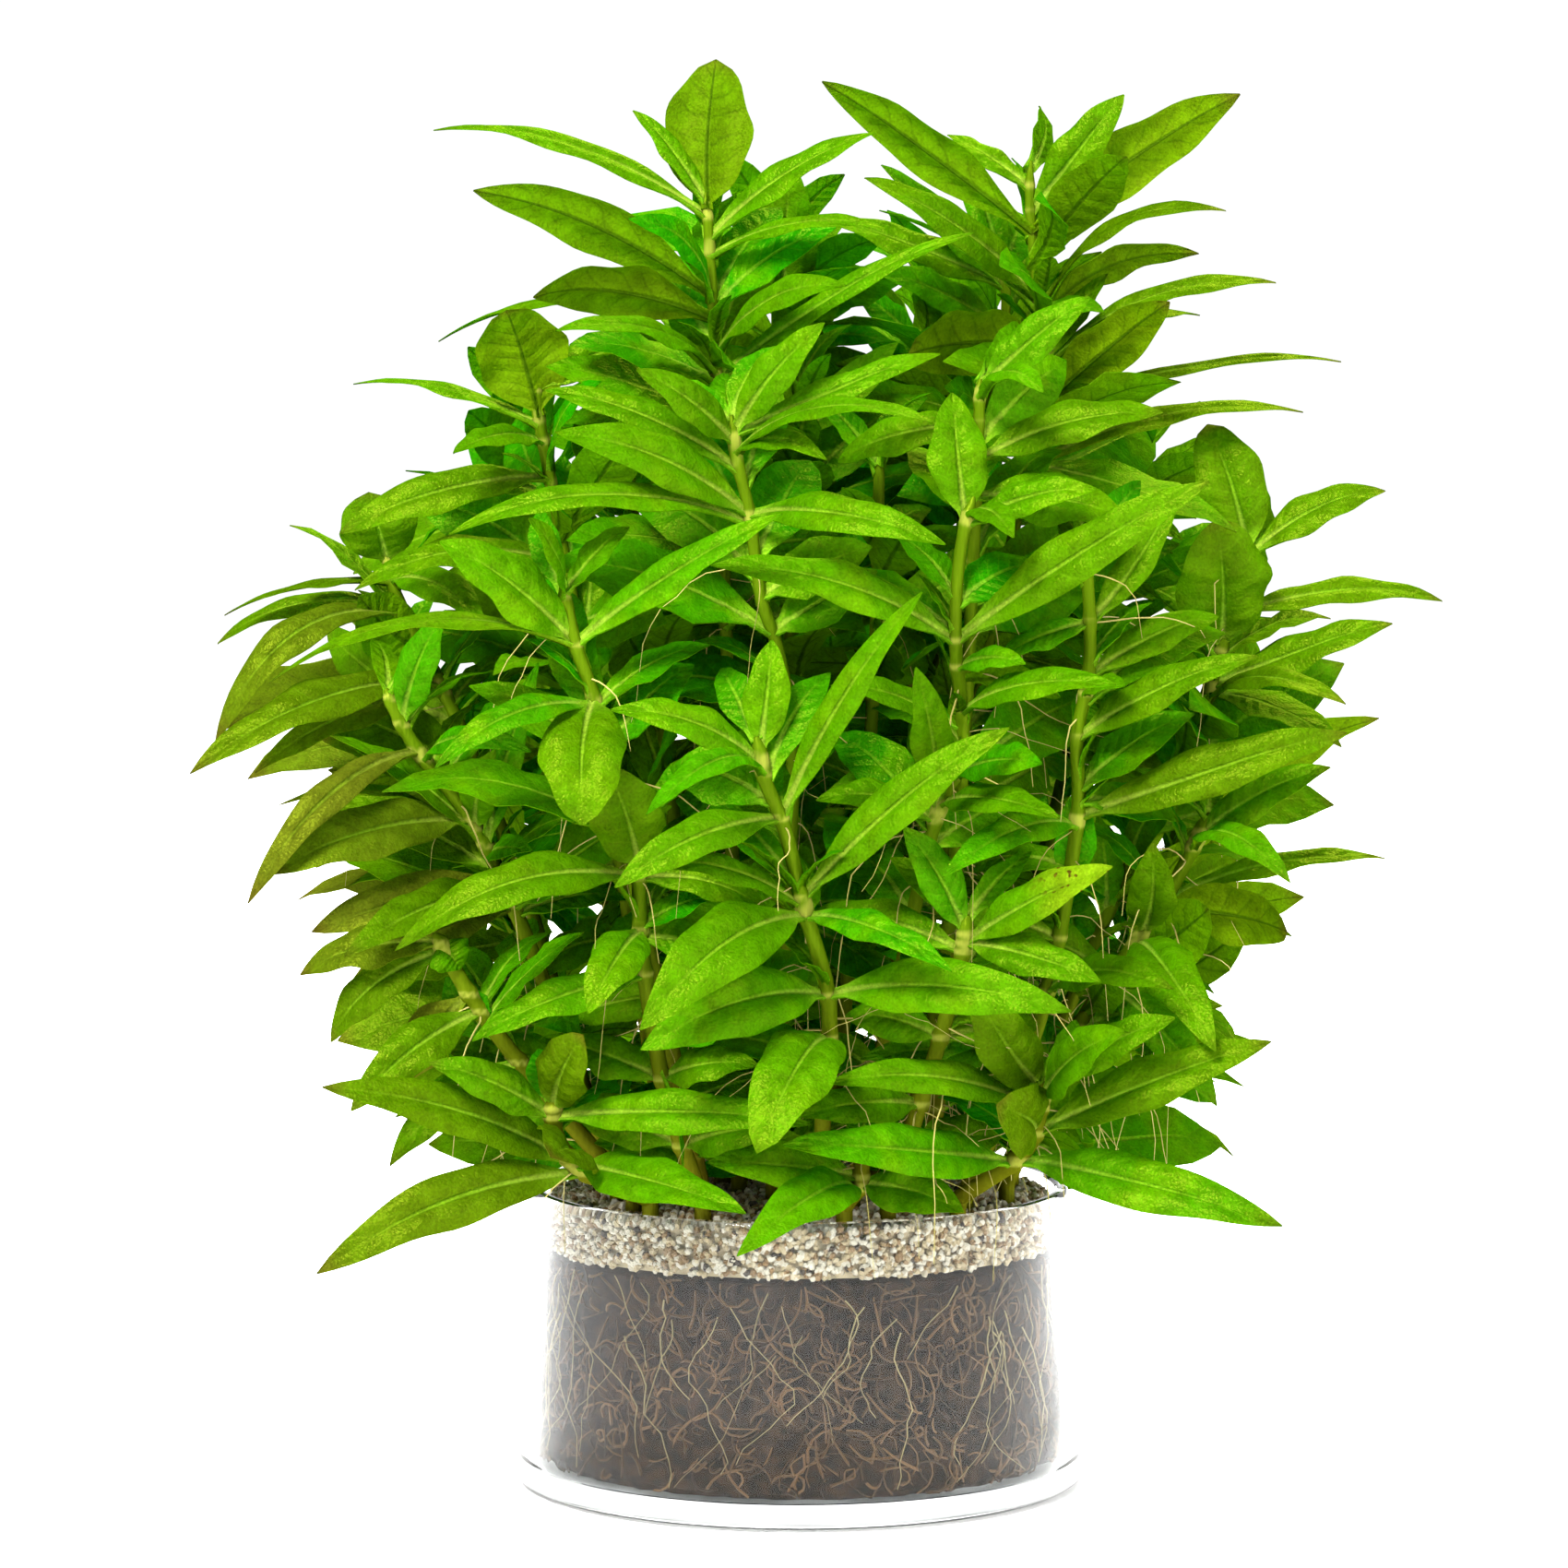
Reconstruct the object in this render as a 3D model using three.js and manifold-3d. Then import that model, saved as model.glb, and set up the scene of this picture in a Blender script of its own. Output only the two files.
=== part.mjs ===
// Potted Staurogyne repens: leafy shoots in a low clear pot with a gravel top dressing.
// Millimetres, Z up. The pot stands on z = 0 with its axis on the Z axis; -Y is the front.

import * as THREE from "three";
import Module from "manifold-3d";

const wasm = await Module();
wasm.setup();

// Pot, plug and gravel
const potHeight = 34.5;
const potRimRadius = 31.6;
const potFootRadius = 33.6;
const potWall = 1.6;
const potFloor = 2.6;
const fitGap = 0.3;
const plugTop = 27.5;
const gravelEdge = 33.2;
const gravelCrown = 35.6;
const gravelSink = 0.2;
const gravelShoulder = { share: 0.75, sink: 0.7 };
const footRounding = 1.4;
const rimRounding = 0.5;
const floorRounding = { out: 0.8, up: 0.6 };
const plugRounding = { foot: 1, shoulder: 0.8, drop: 0.6 };
const wallAllowance = 0.1;
const turnSteps = 32;

// Stems
const stemFootRadius = 1.25;
const stemTipRadius = 0.85;
const stemSides = 4;
const stemFullHeight = 120;
const pathSteps = 4;
const stemSteps = 8;
const socketGap = 0.35;
const socketOverrun = 1;

// Leaves
const petioleHalfWidth = 0.7;
const petioleShare = 0.08;
const bladeFold = 0.12;
const rootDepth = 0.5;
const facetSpread = 1.14;
const leafSections = [{ u: 0.3, keel: 0.75 }, { u: 0.68, keel: 0.5 }];
const lance = { peak: 0.85, fullness: 1.15 };
const oval = { peak: 1.0, fullness: 0.62 };
const broad = { peak: 0.95, fullness: 0.85 };
const forms = [lance, oval, broad];
const broadForm = 2;
const weldTolerance = 0.02;

// Growth of the leaf pairs that are not placed one by one
const internode = 16;
const firstNode = 9;
const longLeaf = 25;
const budLeaf = 11;
const fullRank = 1.6;
const leafSlimness = 0.25;
const seedsPerShoot = 40;
const nodeSpread = 30;
const tipDrop = 0.4;
const topRise = 48;
const risePerRank = 17;
const lastRank = 4;
const riseSpread = 16;
const lengthShares = { least: 0.85, spread: 0.3 };
const widthShares = { least: 0.85, spread: 0.45 };
const arches = { least: 0.05, spread: 0.1 };
const bladeLean = 0.35;
const frontLean = 0.25;
const sameNode = 6;
const sameSide = 0.55;
const inwardShare = 0.35;
const backward = 0.25;

// Broad leaves on the outer side of the sides and the back
const outerStart = 17;
const outerTwist = 45;
const outerSeeds = 20011;
const outerSeedStep = 31;
const outerShare = 0.68;
const outerLow = 15;
const outerFront = -20;
const outerNode = 3;
const outerSide = 0.8;
const broadShares = { least: 0.27, spread: 0.15 };
const broadLean = { least: 0.5, spread: 1.4 };
const leanRadius = 12;

// Clearance between leaves of different shoots
const cell = 1.3;
const sampleStep = 0.85;
const sampleStart = 0.06;
const gridHalf = 95;
const gridBelow = 40;
const gridAbove = 140;
const sharedCell = 1000;
const petioleEnd = 0.22;
const potKeepOut = 34.6;
const gravelKeepOut = 0.9;
const turns = [
  [0, 0], [6, 0], [-6, 0], [0, 6], [0, -6], [10, 8], [-10, 8], [10, -8], [-10, -8],
  [16, 0], [-16, 0], [0, 15], [0, -15], [22, 12], [-22, 12], [30, 0], [-30, 0],
];
const lengthCuts = [1, 0.9, 0.8, 0.68];
const depthShifts = [0, -3, 3, -6, 6, -9, 9, -12, 12, -15, 15, -18, 18];

// Every shoot: name, azimuth of its first leaf pair in degrees, stem path, placed leaves.
// Path points are x, y and height above the gravel crown. A placed leaf gives the height of
// its node, the x, y and height of its tip, its width, the tilt of its upper side towards
// the front in degrees, how far it arches as a share of its length, and its form (1 is oval).
const shoots = [
  ["front_centre", 10, [[2.5, -22, 0], [2.6, -30, 12], [3.2, -35, 24], [0.4, -38, 35],
    [-1.8, -40, 44], [-3.8, -41, 49], [-4.8, -41.5, 54]], [
    [52, -3.1, -40, 64.5, 5, 80, 0.04, 0], [51, -20.2, -47, 57.6, 5, 50, 0.14, 0],
    [50, -16, -57, 47.6, 4.4, 55, 0.16, 0], [45, -20, -50, 38.5, 5, 50, 0.12, 0],
    [45, 12.4, -52, 70, 4.2, 55, 0.03, 0], [36, 21.7, -47, 55.5, 5.4, 60, 0.04, 0],
    [35, -16, -47, 41, 4.5, 35, 0.08, 0], [34, 16, -52, 30, 4.5, 45, 0.12, 0],
    [34, -17, -55, 24, 8.2, 55, 0.16, 0], [25, -17, -49, 21, 8, 60, 0.14, 0],
    [25, 28.6, -50, 25.5, 6.4, 60, 0.12, 0], [20, -4.5, -52, 10.5, 8.6, 60, 0.2, 1],
  ]],
  ["tall_centre", 35, [[-3, -13, 0], [-2, -20, 25], [-0.8, -25, 50], [-2.3, -28, 62],
    [-4.4, -30, 69], [-5.6, -31, 78], [-7, -32, 84], [-7.6, -32, 89]], [
    [78, -26, -42, 87.5, 6.2, 60, 0.08, 0], [77, -38, -42, 77.5, 4.4, 35, 0.13, 0],
    [78, 15.4, -46, 75.5, 5, 55, 0.13, 0], [83, -28, -38, 92, 4.6, 45, 0.1, 0],
    [85, 2.4, -44, 85, 3.2, 45, 0.1, 0], [86, -17.5, -40, 94, 4.6, 65, 0.08, 0],
    [87, 2.4, -38, 99, 4.8, 70, 0.05, 0], [87, 15, -34, 96.5, 3.8, 50, 0.04, 0],
    [85, 13, -43, 89.6, 4.2, 50, 0.1, 0],
  ]],
  ["front_left", 100, [[-11, -17, 0], [-16, -26, 25], [-20, -33, 45], [-22.8, -36, 58],
    [-24.6, -37, 63.5], [-26, -37, 70]], [
    [64, -57.5, -46, 61, 4.6, 25, 0.13, 0], [64, -38.6, -38, 75.5, 7, 60, 0.06, 0],
    [64, -2.4, -47, 78.5, 4.8, 60, 0.05, 0], [58, -23.6, -47, 45, 9.2, 75, 0.12, 1],
    [57, -39.5, -47, 51.5, 4.4, 40, 0.16, 0], [69, -29, -45, 78, 4, 50, 0.06, 0],
  ]],
  ["lower_front_left", 60, [[-11, -23, 0], [-15, -29, 13], [-17.3, -32, 27], [-17.8, -35, 38.5],
    [-16.8, -36, 45]], [
    [38, -43.8, -46, 32, 6.4, 55, 0.16, 0], [39, -21, -44, 50.5, 8, 70, 0.05, 1],
    [32, -23, -46, 24.5, 6, 65, 0.14, 0], [27, -36, -40, 21, 5.4, 50, 0.12, 0],
    [38, -3, -50, 34, 4.8, 45, 0.12, 0],
  ]],
  ["left", 15, [[-21, -10, 0], [-27, -14, 18], [-35.8, -16, 40], [-43.8, -18, 51.5],
    [-47, -18, 58]], [
    [43, -59.5, -30, 38, 7, 65, 0.1, 0], [51, -61.5, -28, 35, 4, 50, 0.2, 0],
    [50, -30.5, -31, 52.5, 4, 45, 0.14, 0], [54, -40, -24, 67, 5, 60, 0.05, 0],
    [42, -34.5, -28, 51, 4.6, 70, 0.03, 0], [34, -50, -30, 30, 6, 55, 0.12, 0],
  ]],
  ["far_left", 40, [[-23, -2, 0], [-31, -2, 30], [-40, -3, 54], [-46, -4, 66], [-48, -4, 73]], [
    [70, -66.4, -8, 66.6, 3.4, 15, 0.06, 0], [67, -67.8, -3, 63, 4.2, 20, 0.1, 0],
    [66, -66.8, -15, 51.8, 5, 35, 0.26, 0], [58, -69, -20, 49, 6.6, 45, 0.14, 0],
    [72, -49.5, -9, 80, 9, 70, 0.04, 1], [57, -63, -8, 48, 5, 40, 0.14, 0],
    [70, -36, -18, 66, 5.5, 50, 0.1, 0],
  ]],
  ["low_left", 75, [[-19, -16, 0], [-28, -21, 11], [-36, -25, 22], [-41, -27, 31]], [
    [30, -56, -32, 27, 6, 50, 0.12, 0], [29, -53, -36, 19, 5.6, 50, 0.16, 0],
    [22, -50, -33, 12, 5.6, 55, 0.14, 0], [16, -46, -30, 5.5, 5, 50, 0.12, 0],
    [30, -38, -45, 27, 5.5, 50, 0.12, 0],
  ]],
  ["centre_right", 0, [[11, -15, 0], [16, -21, 25], [18.2, -27, 51], [17.2, -31, 64],
    [17.7, -32, 74], [19.2, -32, 80]], [
    [64, -9.4, -44, 73, 5.8, 60, 0.1, 0], [64, 44, -42, 82, 5.8, 60, 0.05, 0],
    [77, 16.8, -30, 91.5, 6.6, 80, 0.03, 0], [77, 32, -38, 81.4, 4.2, 55, 0.06, 0],
    [78, 23, -44, 76, 4, 55, 0.12, 0], [56, 34, -44, 60, 5, 50, 0.12, 0],
    [52, 4, -44, 60, 5, 50, 0.1, 0],
  ]],
  ["top_right", 0, [[9, -5, 0], [17, -7, 40], [24.5, -9, 75], [28.2, -11, 94], [27.2, -11, 102.5],
    [26.3, -10, 113], [26.4, -10, 118]], [
    [112, 36.6, -12, 125.5, 5.2, 60, 0.04, 0], [110, 49.8, -16, 125.6, 7.2, -65, 0.08, 0],
    [110, 2.6, -16, 127, 5.8, -60, 0.05, 0], [115, 17, -6, 121.2, 3.6, 40, 0.08, 0],
    [102.5, 7.6, -25, 115.5, 5.8, 60, 0.06, 0], [101.5, 47, -22, 112.8, 4.8, 25, 0.14, 0],
    [100.5, 45.6, -9, 107.6, 5.2, -40, 0.14, 0], [95, 53.8, -16, 104.2, 4.8, 25, 0.13, 0],
    [96, 46.4, -2, 101, 4.6, 25, 0.08, 0], [90, 41.5, -14, 102, 6.4, -70, 0.03, 0],
    [91, 62, -8, 97, 2.6, 20, 0.02, 0], [83, 57.6, -10, 89.8, 4.8, 30, 0.1, 0],
  ]],
  ["top_right_back", 50, [[8, 3, 0], [14, 5, 45], [20, 3, 80], [24, 1, 100], [23, 0, 107]], [
    [104, 10, -8, 118, 4.4, 50, 0.05, 0], [105, 18, 4, 121, 4.4, 45, 0.05, 0],
  ]],
  ["right_front_high", 55, [[15, -9, 0], [18, -18, 40], [19.5, -26, 76], [20, -28, 93]], [
    [92, 31.8, -30, 102.2, 5, 65, 0.04, 0], [91, 26, -42, 92, 4, 45, 0.12, 0],
    [88, 4, -40, 84, 5, 50, 0.1, 0], [84, 40, -34, 89.5, 6, 55, 0.08, 0],
    [80, 36, -38, 78, 7, 60, 0.1, 0],
  ]],
  ["right", 90, [[19, -15, 0], [27, -21, 20], [31, -25, 42], [31, -27, 53], [32.2, -28, 60],
    [32.2, -29, 67], [31.7, -29, 74]], [
    [53, 49.4, -38, 63, 5.2, 60, 0.08, 0], [44, 60.2, -32, 54.5, 5.8, 55, 0.06, 0],
    [66, 42, -26, 80.5, 3.8, 50, -0.08, 0], [60, 47, -24, 67, 4.6, 45, 0.08, 0],
    [43, 16, -44, 40, 5, 50, 0.12, 0], [66, 22, -44, 62, 4.2, 45, 0.1, 0],
  ]],
  ["far_right", 0, [[24, -3, 0], [34, -5, 27], [44, -8, 49], [48, -9, 60], [50, -9, 68],
    [52, -9, 74]], [
    [62, 47.5, -15, 77, 11, 75, 0.04, 1], [73, 47, -8, 88, 8, 75, 0.05, 1],
    [73, 67, -9, 81, 5.4, 40, 0.06, 0], [66, 74.2, -7, 68.6, 4.8, 30, 0.06, 0],
    [58, 66.8, -17, 66, 5.4, 45, 0.02, 0], [56, 60, -30, 58, 5, 50, 0.12, 0],
  ]],
  ["low_right", 30, [[24, -9, 0], [32, -14, 19], [41, -18, 33], [46.5, -20, 44]], [
    [41, 59, -27, 49.8, 5.4, 60, 0.08, 0], [42, 65.4, -14, 55, 7, -55, 0.06, 0],
    [40, 53.4, -32, 38.5, 5, 45, 0.16, 0], [34, 66.6, -17, 39, 4.8, 25, 0.08, 0],
    [33, 55, -27, 31.5, 7.6, -65, 0.05, 1], [29, 45.5, -39, 20, 6.6, 60, 0.16, 0],
    [24, 47, -26, 12, 5.2, 45, 0.14, 0],
  ]],
  ["plantlet_right", 0, [[18, -20, 0], [24, -26, 5], [26.2, -31, 9], [27, -33, 15]], [
    [5, -1.6, -51, 10.2, 6.6, 60, 0.08, 0], [5.5, 52.8, -42, 0.4, 6.4, 60, 0.1, 0],
    [9, 52, -39, 20, 6, 60, 0.08, 0], [9, 22.2, -43, 13.5, 8.4, 75, 0.1, 1],
    [14, 40.8, -38, 23.2, 5, 55, 0.05, 0], [12, 3, -46, 16.4, 4.6, 45, 0.08, 0],
    [14, 19.5, -40, 25, 6.5, 70, 0.05, 1],
  ]],
  ["plantlet_left", 0, [[-17, -21, 0], [-24, -27, 4], [-27, -31, 8], [-27.6, -33, 13]], [
    [4.5, -52.4, -40, 15.4, 6, 60, 0.08, 0], [4, -53, -44, -4.6, 6.4, 60, 0.12, 0],
    [11, -40.5, -38, 18, 5, 55, 0.08, 0], [6, -27, -44, 8.5, 8, 75, 0.08, 1],
    [5, -6.4, -48, 3, 6.6, 60, 0.1, 0], [11, 0.8, -45, 12, 5.4, 55, 0.1, 0],
    [12, -24, -41, 21, 6.5, 70, 0.05, 1],
  ]],
  ["top_left", 0, [[-7, -8, 0], [-8, -13, 50], [-9, -17, 84], [-9.6, -18, 97], [-10, -18.5, 105],
    [-10.6, -18, 114]], [
    [112, -9.5, -14, 129, 9.8, -75, 0.03, 1], [111.5, -41, -18, 122, 4.8, 35, 0.08, 0],
    [102.5, -36.4, -24, 114.4, 6.2, -60, 0.07, 0], [100, -30, -27, 102.8, 7, -60, 0.08, 0],
    [100, -41.6, -12, 98.6, 4.6, 20, 0.08, 0], [109, 8, -24, 120.6, 5, 50, 0.05, 0],
    [107, 9, -29, 110.5, 3.4, 30, 0.08, 0], [113, -18.5, -14, 123.6, 3, 30, 0.05, 0],
    [96, 4, -34, 104, 5, 50, 0.08, 0], [94, -26, -38, 99, 5, 50, 0.1, 0],
  ]],
  ["upper_left", 0, [[-15, -8, 0], [-21, -11, 40], [-27, -14, 74], [-29.5, -16, 88],
    [-30, -16, 94]], [
    [89, -33, -20, 101, 10.4, -75, 0.04, 1], [88, -50.8, -15, 93.4, 4.2, 15, 0.05, 0],
    [86, -38.6, -26, 85, 5, 45, 0.1, 0], [80, -43, -15, 80.6, 4.2, 25, 0.08, 0],
    [82, -52, -20, 76, 5.4, 45, 0.12, 0], [92, -16, -24, 98, 5, 55, 0.06, 0],
    [72, -50, -22, 70, 5.5, 45, 0.12, 0],
  ]],
  ["plantlet_centre", 0, [[10, -22, 0], [14, -30, 14], [17.6, -36, 28], [18.4, -37, 34]], [
    [30, 0.6, -48, 33.6, 5, 55, 0.08, 0], [31, 32.6, -48, 27.6, 5, 55, 0.1, 0],
    [32, 11.4, -43, 44, 5, 60, 0.04, 0], [31, 33.4, -44, 40.4, 5.6, 55, 0.05, 0],
  ]],
  ["inner_right", 0, [[6, -17, 0], [11, -26, 25], [15, -31, 44], [18.6, -33, 52]], [
    [46, 27.6, -42, 46, 5.4, 55, 0.1, 0], [49, 26, -40, 51.5, 5, 50, 0.06, 0],
    [45, 12.6, -42, 61.5, 5, 60, 0.03, 0], [44, 2, -42, 47, 5, 50, 0.12, 0],
  ]],
  ["low_centre", 0, [[5, -26.5, 0], [6.5, -29.5, 3], [7, -32, 7]], [
    [4, -10, -47, 6.8, 6, 60, 0.1, 0], [3, 18, -50, 1, 6.4, 60, 0.12, 0],
    [2.5, -6, -48, 0.2, 6.4, 60, 0.14, 0],
  ]],
  ["core", 30, [[0, -3, 0], [-1, -5, 50], [0, -9, 92]], []],
  ["core_right", 70, [[3, -8, 0], [8, -12, 50], [9, -18, 84]], []],
  ["core_left", 10, [[-9, -2, 0], [-15, -4, 45], [-20, -6, 84]], []],
  ["back_left", 20, [[-14, 5, 0], [-24, 9, 48], [-33, 13, 90]], []],
  ["back_left_low", 60, [[-22, 8, 0], [-36, 14, 32], [-48, 19, 60]], []],
  ["back_middle", 0, [[-6, 16, 0], [-9, 28, 50], [-11, 36, 96]], []],
  ["back_high", 45, [[0, 8, 0], [-1, 12, 60], [-2, 16, 110]], []],
  ["back_right_high", 15, [[11, 11, 0], [13, 17, 55], [15, 22, 106]], []],
  ["back_right", 80, [[19, 8, 0], [31, 18, 42], [40, 27, 82]], []],
  ["back_right_low", 40, [[14, 20, 0], [25, 37, 30], [33, 48, 58]], []],
  ["back_low", 10, [[3, 24, 0], [4, 39, 28], [4, 50, 62]], []],
  ["back_far_left", 50, [[-13, 21, 0], [-24, 35, 30], [-33, 45, 64]], []],
  ["side_right", 20, [[25, 3, 0], [38, 10, 22], [49, 17, 48]], []],
  ["hem_back", 35, [[-5, 25.5, 0], [-7, 36, 12], [-8, 44, 27]], []],
  ["hem_right", 60, [[21, 15, 0], [33, 24, 10], [42, 30, 24]], []],
  ["hem_left", 0, [[-21, 15, 0], [-34, 22, 10], [-44, 27, 26]], []],
];

// Same seed, same leaf: a repeatable number from 0 to 1 for a pair of counters.
function noise(i, k) {
  const value = Math.sin(i * 12.9898 + k * 78.233) * 43758.5453;
  return value - Math.floor(value);
}

const vec = (x, y, z) => new THREE.Vector3(x, y, z);
const degrees = Math.PI / 180;

// Smooth curve through the path points, a few steps to a span.
function smoothPath(points, steps) {
  const at = (i) => vec(...points[Math.min(Math.max(i, 0), points.length - 1)]);
  const line = [];
  for (let span = 0; span < points.length - 1; span += 1) {
    const [a, b, c, d] = [at(span - 1), at(span), at(span + 1), at(span + 2)];
    for (let step = 0; step < steps; step += 1) {
      const t = step / steps;
      const point = b.clone().multiplyScalar(2);
      point.addScaledVector(c.clone().sub(a), t);
      point.addScaledVector(a.clone().multiplyScalar(2).addScaledVector(b, -5)
        .addScaledVector(c, 4).sub(d), t * t);
      point.addScaledVector(b.clone().multiplyScalar(3).sub(a)
        .addScaledVector(c, -3).add(d), t * t * t);
      line.push(point.multiplyScalar(0.5));
    }
  }
  line.push(at(points.length - 1));
  return line;
}

// Point of the stem line at a height above the gravel.
function stemAt(line, height) {
  for (let i = 0; i < line.length - 1; i += 1) {
    if (height <= line[i + 1].z) {
      const t = (height - line[i].z) / (line[i + 1].z - line[i].z);
      return line[i].clone().lerp(line[i + 1], Math.max(t, 0));
    }
  }
  return line[line.length - 1].clone();
}

// Blade frame: s runs across the blade, n out of its upper side.
function frameOf(leaf) {
  const n = leaf.facing.clone().addScaledVector(leaf.direction, -leaf.facing.dot(leaf.direction));
  n.normalize();
  return { n, s: leaf.direction.clone().cross(n) };
}

function halfWidth(leaf, u) {
  const form = forms[leaf.form];
  const t = Math.max(u - petioleShare, 0) / (1 - petioleShare);
  const blade = Math.sin(Math.PI * t ** form.peak);
  return (leaf.width / 2) * Math.max(blade, 0) ** form.fullness
    + petioleHalfWidth * (1 - u) ** 3;
}

function bladePoint(leaf, frame, u, v) {
  const half = halfWidth(leaf, u);
  return leaf.base.clone()
    .addScaledVector(leaf.direction, leaf.length * u)
    .addScaledVector(frame.n, 4 * leaf.arch * leaf.length * u * (1 - u))
    .addScaledVector(frame.s, half * v)
    .addScaledVector(frame.n, bladeFold * half * Math.abs(v));
}

// Occupied space as two grids of cells. The wide one holds the shoot whose matter is in the
// cell or next to it; the close one holds only the cells that a blade passes through.
const across = Math.ceil((2 * gridHalf) / cell);
const tall = Math.ceil((gridBelow + gridAbove) / cell);
const wide = new Int16Array(across * across * tall);
const close = new Uint8Array(across * across * tall);

function cellOf(point) {
  const ix = Math.floor((point.x + gridHalf) / cell);
  const iy = Math.floor((point.y + gridHalf) / cell);
  const iz = Math.floor((point.z + gridBelow) / cell);
  return (ix * across + iy) * tall + iz;
}

function occupy(point, mark) {
  const middle = cellOf(point);
  for (const dx of [-1, 0, 1]) {
    for (const dy of [-1, 0, 1]) {
      for (const dz of [-1, 0, 1]) {
        const index = middle + (dx * across + dy) * tall + dz;
        if (wide[index] === 0) {
          wide[index] = mark;
        } else if (wide[index] !== mark) {
          wide[index] = sharedCell;
        }
      }
    }
  }
}

function leafSamples(leaf) {
  const frame = frameOf(leaf);
  const along = Math.ceil(leaf.length / sampleStep);
  const side = Math.ceil(leaf.width / sampleStep);
  const samples = [];
  for (let i = 0; i <= along; i += 1) {
    const u = sampleStart + ((1 - sampleStart) * i) / along;
    for (let j = 0; j <= side; j += 1) {
      samples.push({ u, point: bladePoint(leaf, frame, u, (2 * j) / side - 1) });
    }
  }
  return samples;
}

// Clear of the other shoots, of the pot, and of the blades of its own shoot.
function isFree(samples, mark) {
  return samples.every(({ u, point }) => {
    const index = cellOf(point);
    const overPot = Math.hypot(point.x, point.y) < potKeepOut;
    const low = overPot && point.z < gravelKeepOut;
    const crossed = u > petioleEnd && close[index] === 1;
    return !low && !crossed && (wide[index] === 0 || wide[index] === mark);
  });
}

// The same leaf turned sideways, lifted and shortened.
function turnedLeaf(leaf, turn, lift, cut) {
  const azimuth = Math.atan2(leaf.direction.y, leaf.direction.x) + turn * degrees;
  const rise = Math.asin(leaf.direction.z) + lift * degrees;
  const flat = Math.cos(rise);
  const direction = vec(Math.cos(azimuth) * flat, Math.sin(azimuth) * flat, Math.sin(rise));
  return { ...leaf, direction, length: leaf.length * cut };
}

// The same leaf with its tip moved nearer or farther, so that it looks alike from the front.
function shiftedLeaf(leaf, shift) {
  const reach = leaf.direction.clone().multiplyScalar(leaf.length).add(vec(0, shift, 0));
  return { ...leaf, length: reach.length(), direction: reach.normalize() };
}

// The wanted leaf, or the first changed one that clears its neighbours.
function settle(wanted, mark) {
  const tries = wanted.placed ? depthShifts.map((shift) => shiftedLeaf(wanted, shift)) : [];
  for (const cut of lengthCuts) {
    for (const [turn, lift] of turns) {
      tries.push(turnedLeaf(wanted, turn, lift, cut));
    }
  }
  for (const leaf of tries) {
    const samples = leafSamples(leaf);
    if (isFree(samples, mark)) {
      for (const { u, point } of samples) {
        occupy(point, mark);
        if (u > petioleEnd) {
          close[cellOf(point)] = 1;
        }
      }
      return leaf;
    }
  }
  return null;
}

function placedLeaf(line, row) {
  const [node, x, y, z, width, tilt, arch, form] = row;
  const base = stemAt(line, node);
  const reach = vec(x, y, z).sub(base);
  return {
    base,
    length: reach.length(),
    direction: reach.clone().normalize(),
    facing: vec(0, -Math.sin(tilt * degrees), Math.cos(tilt * degrees)),
    width,
    arch,
    form,
    placed: true,
  };
}

function shareOf(shares, seed, counter) {
  return shares.least + shares.spread * noise(seed, counter);
}

// Opposite pairs up the stem, each pair turned a quarter from the one below.
function grownLeaves(plant, start, twist, seedShift) {
  const { line, number } = plant;
  const top = line[line.length - 1].z;
  const leaves = [];
  const count = Math.floor((top - start) / internode) + 1;
  for (let k = 0; k <= count; k += 1) {
    const height = Math.min(start + k * internode, top - tipDrop);
    const rank = (top - height) / internode;
    const size = budLeaf + (longLeaf - budLeaf) * Math.min(rank / fullRank, 1);
    for (const side of [0, 1]) {
      const seed = number * seedsPerShoot + k * 2 + side + seedShift;
      const azimuth = (plant.turn + twist + 90 * (k % 2) + 180 * side
        + nodeSpread * (noise(seed, 1) - 0.5)) * degrees;
      const rise = (topRise - risePerRank * Math.min(rank, lastRank)
        + riseSpread * (noise(seed, 2) - 0.5)) * degrees;
      const flat = Math.cos(rise);
      const length = size * shareOf(lengthShares, seed, 3);
      leaves.push({
        base: stemAt(line, height),
        length,
        direction: vec(Math.cos(azimuth) * flat, Math.sin(azimuth) * flat, Math.sin(rise)),
        facing: vec(-bladeLean * Math.cos(azimuth), -bladeLean * Math.sin(azimuth) - frontLean, 1),
        width: length * leafSlimness * shareOf(widthShares, seed, 4),
        arch: shareOf(arches, seed, 5),
        form: 0,
      });
    }
  }
  return leaves;
}

// The same leaf, broader and facing outwards as much as up.
function broadLeaf(leaf, seed) {
  const middle = leaf.base.clone().addScaledVector(leaf.direction, leaf.length / 2);
  const radius = Math.max(Math.hypot(middle.x, middle.y), leanRadius);
  const lean = shareOf(broadLean, seed, 21) / radius;
  return {
    ...leaf,
    form: broadForm,
    width: leaf.length * shareOf(broadShares, seed, 22),
    facing: vec(middle.x * lean, middle.y * lean, 1),
  };
}

function pointsInwards(leaf) {
  const { base, direction } = leaf;
  const outwards = base.x * direction.x + base.y * direction.y;
  return outwards < -inwardShare * Math.hypot(base.x, base.y);
}

function isTaken(leaf, others, nodeGap, sideways) {
  return others.some((other) => Math.abs(other.base.z - leaf.base.z) < nodeGap
    && other.direction.dot(leaf.direction) > sideways);
}

// Whether a leaf shows at the sides or the back of the clump and stays clear of the front.
function isOuter(leaf) {
  const { base, direction } = leaf;
  const outwards = base.x * direction.x + base.y * direction.y;
  const nearest = Math.min(base.y, base.y + direction.y * leaf.length);
  return outwards > outerShare * Math.hypot(base.x, base.y)
    && base.z > outerLow && nearest > outerFront;
}

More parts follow.
